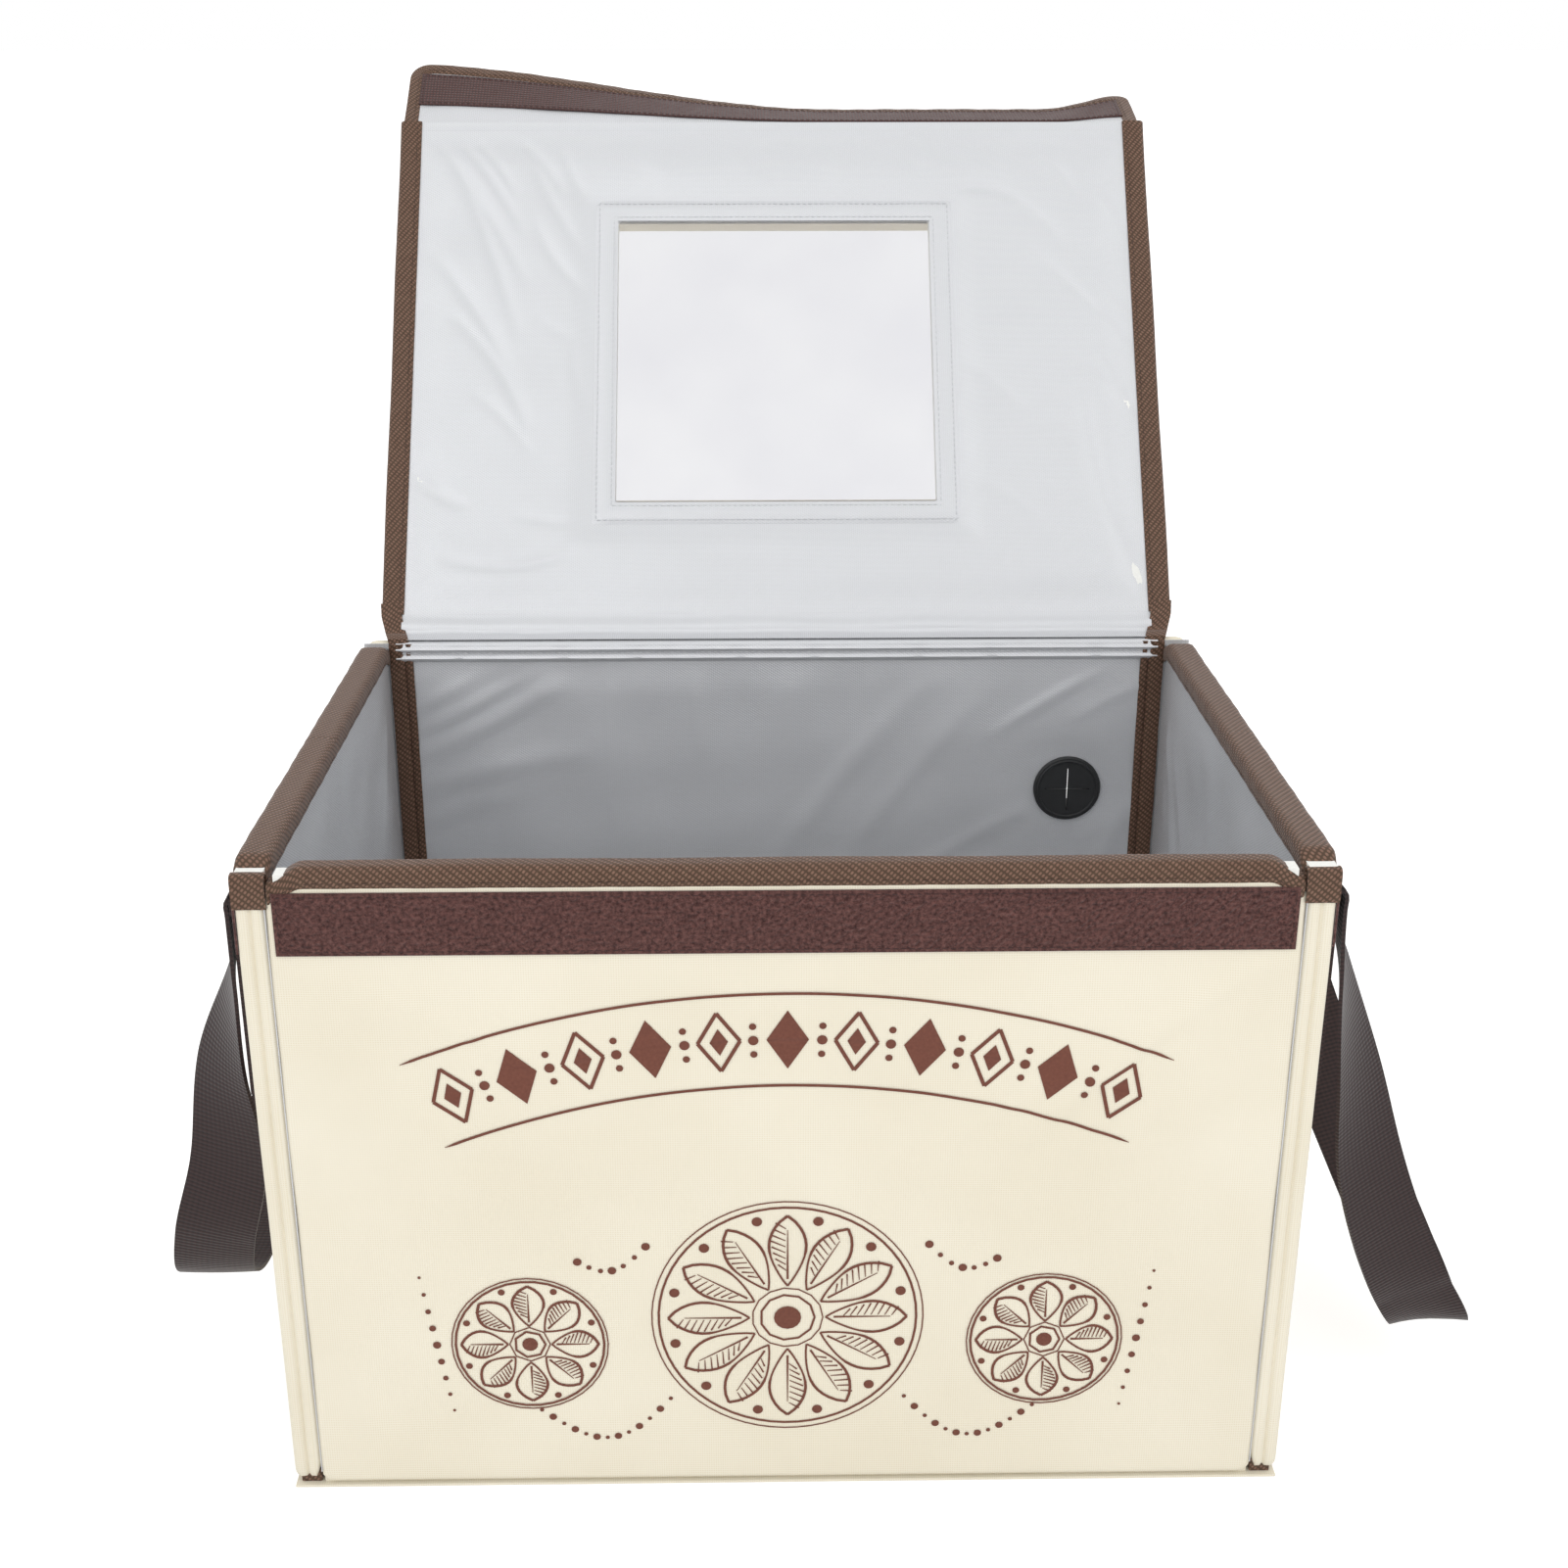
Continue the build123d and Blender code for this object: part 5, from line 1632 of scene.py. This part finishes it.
def soft_bar(name, low, high, soft, slot, material, *nodes):
    """A sewn hem or fold of tape as a bar between two corners, with soft long edges."""
    bpy.ops.object.select_all(action="DESELECT")
    bpy.ops.mesh.primitive_cube_add(size=1)
    piece = bpy.context.object
    piece.name = piece.data.name = name
    bpy.ops.object.mode_set(mode="EDIT")
    bpy.ops.mesh.select_all(action="SELECT")
    bpy.ops.mesh.subdivide(number_cuts=12)
    bpy.ops.transform.resize(value=tuple(high - low), center_override=(0, 0, 0))
    bpy.ops.transform.translate(value=tuple((high + low) / 2))
    bpy.ops.object.mode_set(mode="OBJECT")
    rounding = piece.modifiers.new("soft_edges", "BEVEL")
    rounding.width, rounding.segments = soft, 4
    rounding.limit_method, rounding.angle_limit = "ANGLE", radians(40)
    bpy.ops.object.modifier_apply(modifier=rounding.name)
    bpy.ops.object.shade_smooth_by_angle(angle=radians(50))
    lay_cloth(piece)
    fit(piece, "back_wall", slot, material, *nodes)
    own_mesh(piece)


side_in, base_x, base_y, hem_top = 226 * mm, size.x / 2, size.y / 2, 9.0 * mm
tape_recess = 2.6 * mm       # the side tapes stop short of the base's edges
for word, side in (("left", -1), ("right", 1)):
    near, far = sorted((side * (side_in + 1.5 * mm), side * (base_x - tape_recess)))
    nodes = ("base_side_bindings",) if side < 0 else ()
    soft_bar(
        f"base_{word}_tape",
        Vector((near, -base_y + tape_recess, high.z)), Vector((far, base_y - tape_recess, hem_top)),
        2 * mm, "binding_tape", twill_tape, *nodes,
    )
for word, end in (("front", -1), ("back", 1)):
    near, far = sorted((end * (base_y - 10 * mm), end * (base_y - 2.4 * mm)))
    nodes = ("base_end_hems",) if end < 0 else ()
    soft_bar(
        f"base_{word}_hem", Vector((-side_in, near, high.z)), Vector((side_in, far, hem_top)),
        1.6 * mm, "cover_fabric", cover_polyester, *nodes,
    )


def plain_finish(name, dark, light, scale, roughness, bump, *nodes):
    """A moulded or foamed material with slight mottling, put on CAD pieces."""
    material = new_material(name)
    place = add_node(material, "TexCoord")
    grain = add_node(
        material, "TexNoise", {"Scale": scale, "Detail": 3.0}, {"Vector": place.outputs["Object"]},
    )
    colour = add_node(material, "MixRGB", {"Color1": linear(dark), "Color2": linear(light)}, {"Fac": grain})
    relief = add_node(material, "Bump", {"Strength": 0.3, "Distance": bump}, {"Height": grain.outputs["Fac"]})
    body = add_node(
        material, "BsdfPrincipled", {"Roughness": roughness}, {"Base Color": colour, "Normal": relief},
    )
    add_node(material, "OutputMaterial", {}, {"Surface": body})
    for node in nodes:
        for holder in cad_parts[node].material_slots:
            holder.material = material


# Expanded polyethylene foam, grey twin-wall board, silicone rubber and nylon.
panel_names = ["front", "back", "lid"] + [
    f"{side}_{half}" for side in ("left", "right") for half in ("front", "rear")
]
plain_finish(
    "expanded_polyethylene_foam", "#E4E4DF", "#F6F6F2", 900.0, 0.8, 0.3 * mm,
    *[n + "_board" for n in panel_names],
)
plain_finish("grey_twin_wall_polypropylene", "#C9CACB", "#DADBDC", 60.0, 0.45, 0.1 * mm, "base_board")
plain_finish("black_silicone_rubber_sheet", "#232325", "#303033", 240.0, 0.6, 0.15 * mm, "heating_mat")
plain_finish("black_moulded_nylon", "#19191B", "#222224", 400.0, 0.5, 0.05 * mm, "mat_lead_gland")

# ------------------------------------------------------------------ handles
# Each handle is one length of polypropylene webbing. Its ends are folded over and sewn
# down with a box and a cross on each half of the side wall.
webbing_weave = new_material("ribbed_polypropylene_webbing")
cloth = add_node(webbing_weave, "UVMap", {"uv_map": "cloth"})
# The ribs run across the webbing 1.3 mm apart; they are drawn at 2.2 mm to show.
ribs = add_node(
    webbing_weave, "TexWave", {"bands_direction": "Y", "Scale": wave_repeat / (2.2 * mm)}, {"Vector": cloth},
)
warp = add_node(
    webbing_weave, "TexWave", {"bands_direction": "X", "Scale": wave_repeat / (2.6 * mm)}, {"Vector": cloth},
)
web_height = add_node(webbing_weave, "MixRGB", {"Fac": 0.3}, {"Color1": ribs, "Color2": warp})
# Painted highlight: the ribs' crowns are coloured paler than the hollows between them.
web_tint_with_painted_highlight = add_node(
    webbing_weave, "MixRGB", {"Color1": linear("#1B1011"), "Color2": linear("#372423")}, {"Fac": web_height},
)
raised = add_node(webbing_weave, "Bump", {"Strength": 0.6, "Distance": 0.4 * mm}, {"Height": web_height})
surface = add_node(webbing_weave, "BsdfPrincipled", {
    "Roughness": 0.55, "Specular IOR Level": 0.35, "Sheen Weight": 0.25, "Sheen Roughness": 0.35,
}, {"Base Color": web_tint_with_painted_highlight, "Normal": raised})
add_node(webbing_weave, "OutputMaterial", {}, {"Surface": surface})

strap_wide, strap_thick = 38 * mm, 1.8 * mm
handle_end_y, wall_out = 141.5, 240.0                  # mm
# Points of each handle in mm: out of the wall, y as a share of the way to its sewn ends,
# z, and its twist in degrees, 0 when it lies flat against the wall.
fold_in = [(2.4, -1.0, 304, 0), (2.4, -1.0, 310, 0), (3.9, -1.0, 312.6, 0), (5.4, -1.0, 310, 0)]
fold_out = [(5.4, 1.0, 310, 180), (3.9, 1.0, 312.6, 180), (2.4, 1.0, 310, 180), (2.4, 1.0, 304, 180)]
handle_routes = {
    "left": [
        (5.4, -1.0, 304, 0), (10, -1.0, 268, 14), (20, -1.0, 220, 46), (23, -0.99, 166, 76),
        (35, -0.95, 122, 86), (41, -0.85, 94, 90), (42, -0.69, 80, 90), (40, -0.50, 80, 90),
        (37, -0.24, 86, 90), (33, 0.05, 110, 92), (28, 0.36, 160, 104), (21, 0.67, 222, 130),
        (13, 0.90, 280, 162), (5.4, 1.0, 304, 180),
    ],
    "right": [
        (5.4, -1.0, 304, 0), (14, -1.0, 262, 20), (26, -1.0, 210, 44), (38, -0.97, 160, 64),
        (54, -0.93, 116, 74), (73, -0.86, 76, 82), (90, -0.75, 48, 90), (94, -0.61, 42, 90),
        (87, -0.44, 60, 92), (72, -0.20, 96, 96), (56, 0.10, 138, 104), (40, 0.42, 190, 120),
        (25, 0.70, 240, 142), (13, 0.91, 283, 166), (5.4, 1.0, 304, 180),
    ],
}


def smooth_path(points, step):
    """A curve through points, as Hermite spans over their chords, sampled at a step."""
    points = np.asarray(points, float)
    chords = np.linalg.norm(np.diff(points[:, :3], axis=0), axis=1)
    slopes = np.diff(points, axis=0) / chords[:, None]
    ways = np.empty_like(points)
    ways[0], ways[-1] = slopes[0], slopes[-1]
    before, after = chords[:-1, None], chords[1:, None]
    ways[1:-1] = (slopes[:-1] * after + slopes[1:] * before) / (before + after)
    samples = []
    for n, chord in enumerate(chords):
        t = np.linspace(0, 1, max(3, ceil(chord / step)), endpoint=False)[:, None]
        samples.append(
            (2 * t ** 3 - 3 * t ** 2 + 1) * points[n] + (t ** 3 - 2 * t ** 2 + t) * chord * ways[n]
            + (3 * t ** 2 - 2 * t ** 3) * points[n + 1] + (t ** 3 - t ** 2) * chord * ways[n + 1]
        )
    return np.concatenate([*samples, points[-1:]])


for word, side in (("left", -1), ("right", 1)):
    route = [*fold_in, *handle_routes[word], *fold_out]
    knots = [
        (side * (wall_out + out) * mm, y * handle_end_y * mm, z * mm, twist) for out, y, z, twist in route
    ]
    path = smooth_path(knots, 2 * mm)
    spots, twists = path[:, :3], np.radians(path[:, 3])
    runs = np.concatenate([[0], np.cumsum(np.linalg.norm(np.diff(spots, axis=0), axis=1))])
    strap = flat_cloth(f"{word}_handle_webbing", strap_wide, runs[-1], 2.4 * mm)
    lay_cloth(strap)
    x, s, _ = read_places(strap).T
    ways = np.gradient(spots, runs, axis=0)
    way = np.stack([np.interp(s, runs, ways[:, n]) for n in range(3)], 1)
    way /= np.linalg.norm(way, axis=1, keepdims=True)
    twist = np.interp(s, runs, twists)
    across = np.stack([side * np.sin(twist), np.cos(twist), 0 * s], 1)
    across -= way * np.sum(way * across, axis=1, keepdims=True)
    across /= np.linalg.norm(across, axis=1, keepdims=True)
    middle = np.stack([np.interp(s, runs, spots[:, n]) for n in range(3)], 1)
    cupped = -0.5 * mm * (2 * x / strap_wide) ** 2
    facing = np.cross(across, way)
    write_places(strap, middle + x[:, None] * across + cupped[:, None] * facing)
    harden(strap, strap_thick, 0.0)
    fit(strap, word + "_handle", "webbing", webbing_weave, word + "_handle")
    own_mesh(strap)

    for end, along_y in (("front", -handle_end_y), ("rear", handle_end_y)):
        node = f"{word}_handle_{end}_tab"
        tab_low, _, tab_size = size_of(node)
        tab = flat_cloth(node + "_webbing", strap_wide, tab_size.z, 2.4 * mm)
        lay_cloth(tab)
        x, y, _ = read_places(tab).T
        # The end is cut on a slant, towards the front.
        slant = (x * side / strap_wide + 0.5) * 9 * mm
        y = y + slant * (1 - rise(y, 0, 40 * mm))
        edge = rise(strap_wide / 2 - np.abs(x), 0, 2 * mm)
        write_places(tab, np.stack([x, y, 1.5 * mm + 0.4 * mm * edge], 1))
        harden(tab, 1.7 * mm)
        wall_face = (side * (wall_out * mm + 1.3 * mm), along_y * mm, tab_low.z)
        stand(tab, wall_face, (0, side, 0), (0, 0, 1))
        fit(tab, f"{word}_{end}_side", "webbing", webbing_weave, node)
        inset, low_row, high_row, stitch_up = 4 * mm, 16 * mm, 52 * mm, 1.95 * mm
        far_x = strap_wide / 2 - inset
        box = [
            (-far_x, low_row), (far_x, low_row), (far_x, high_row), (-far_x, high_row),
            (-far_x, low_row), (far_x, high_row),
        ]
        cross = [(far_x, low_row), (-far_x, high_row)]
        lines = [[(x, y, stitch_up) for x, y in row] for row in (box, cross)]
        rows = sew(node + "_stitches", lines, (0, 0, 1))
        stand(rows, wall_face, (0, side, 0), (0, 0, 1))
        fit(rows, f"{word}_{end}_side", "webbing", maroon_thread)
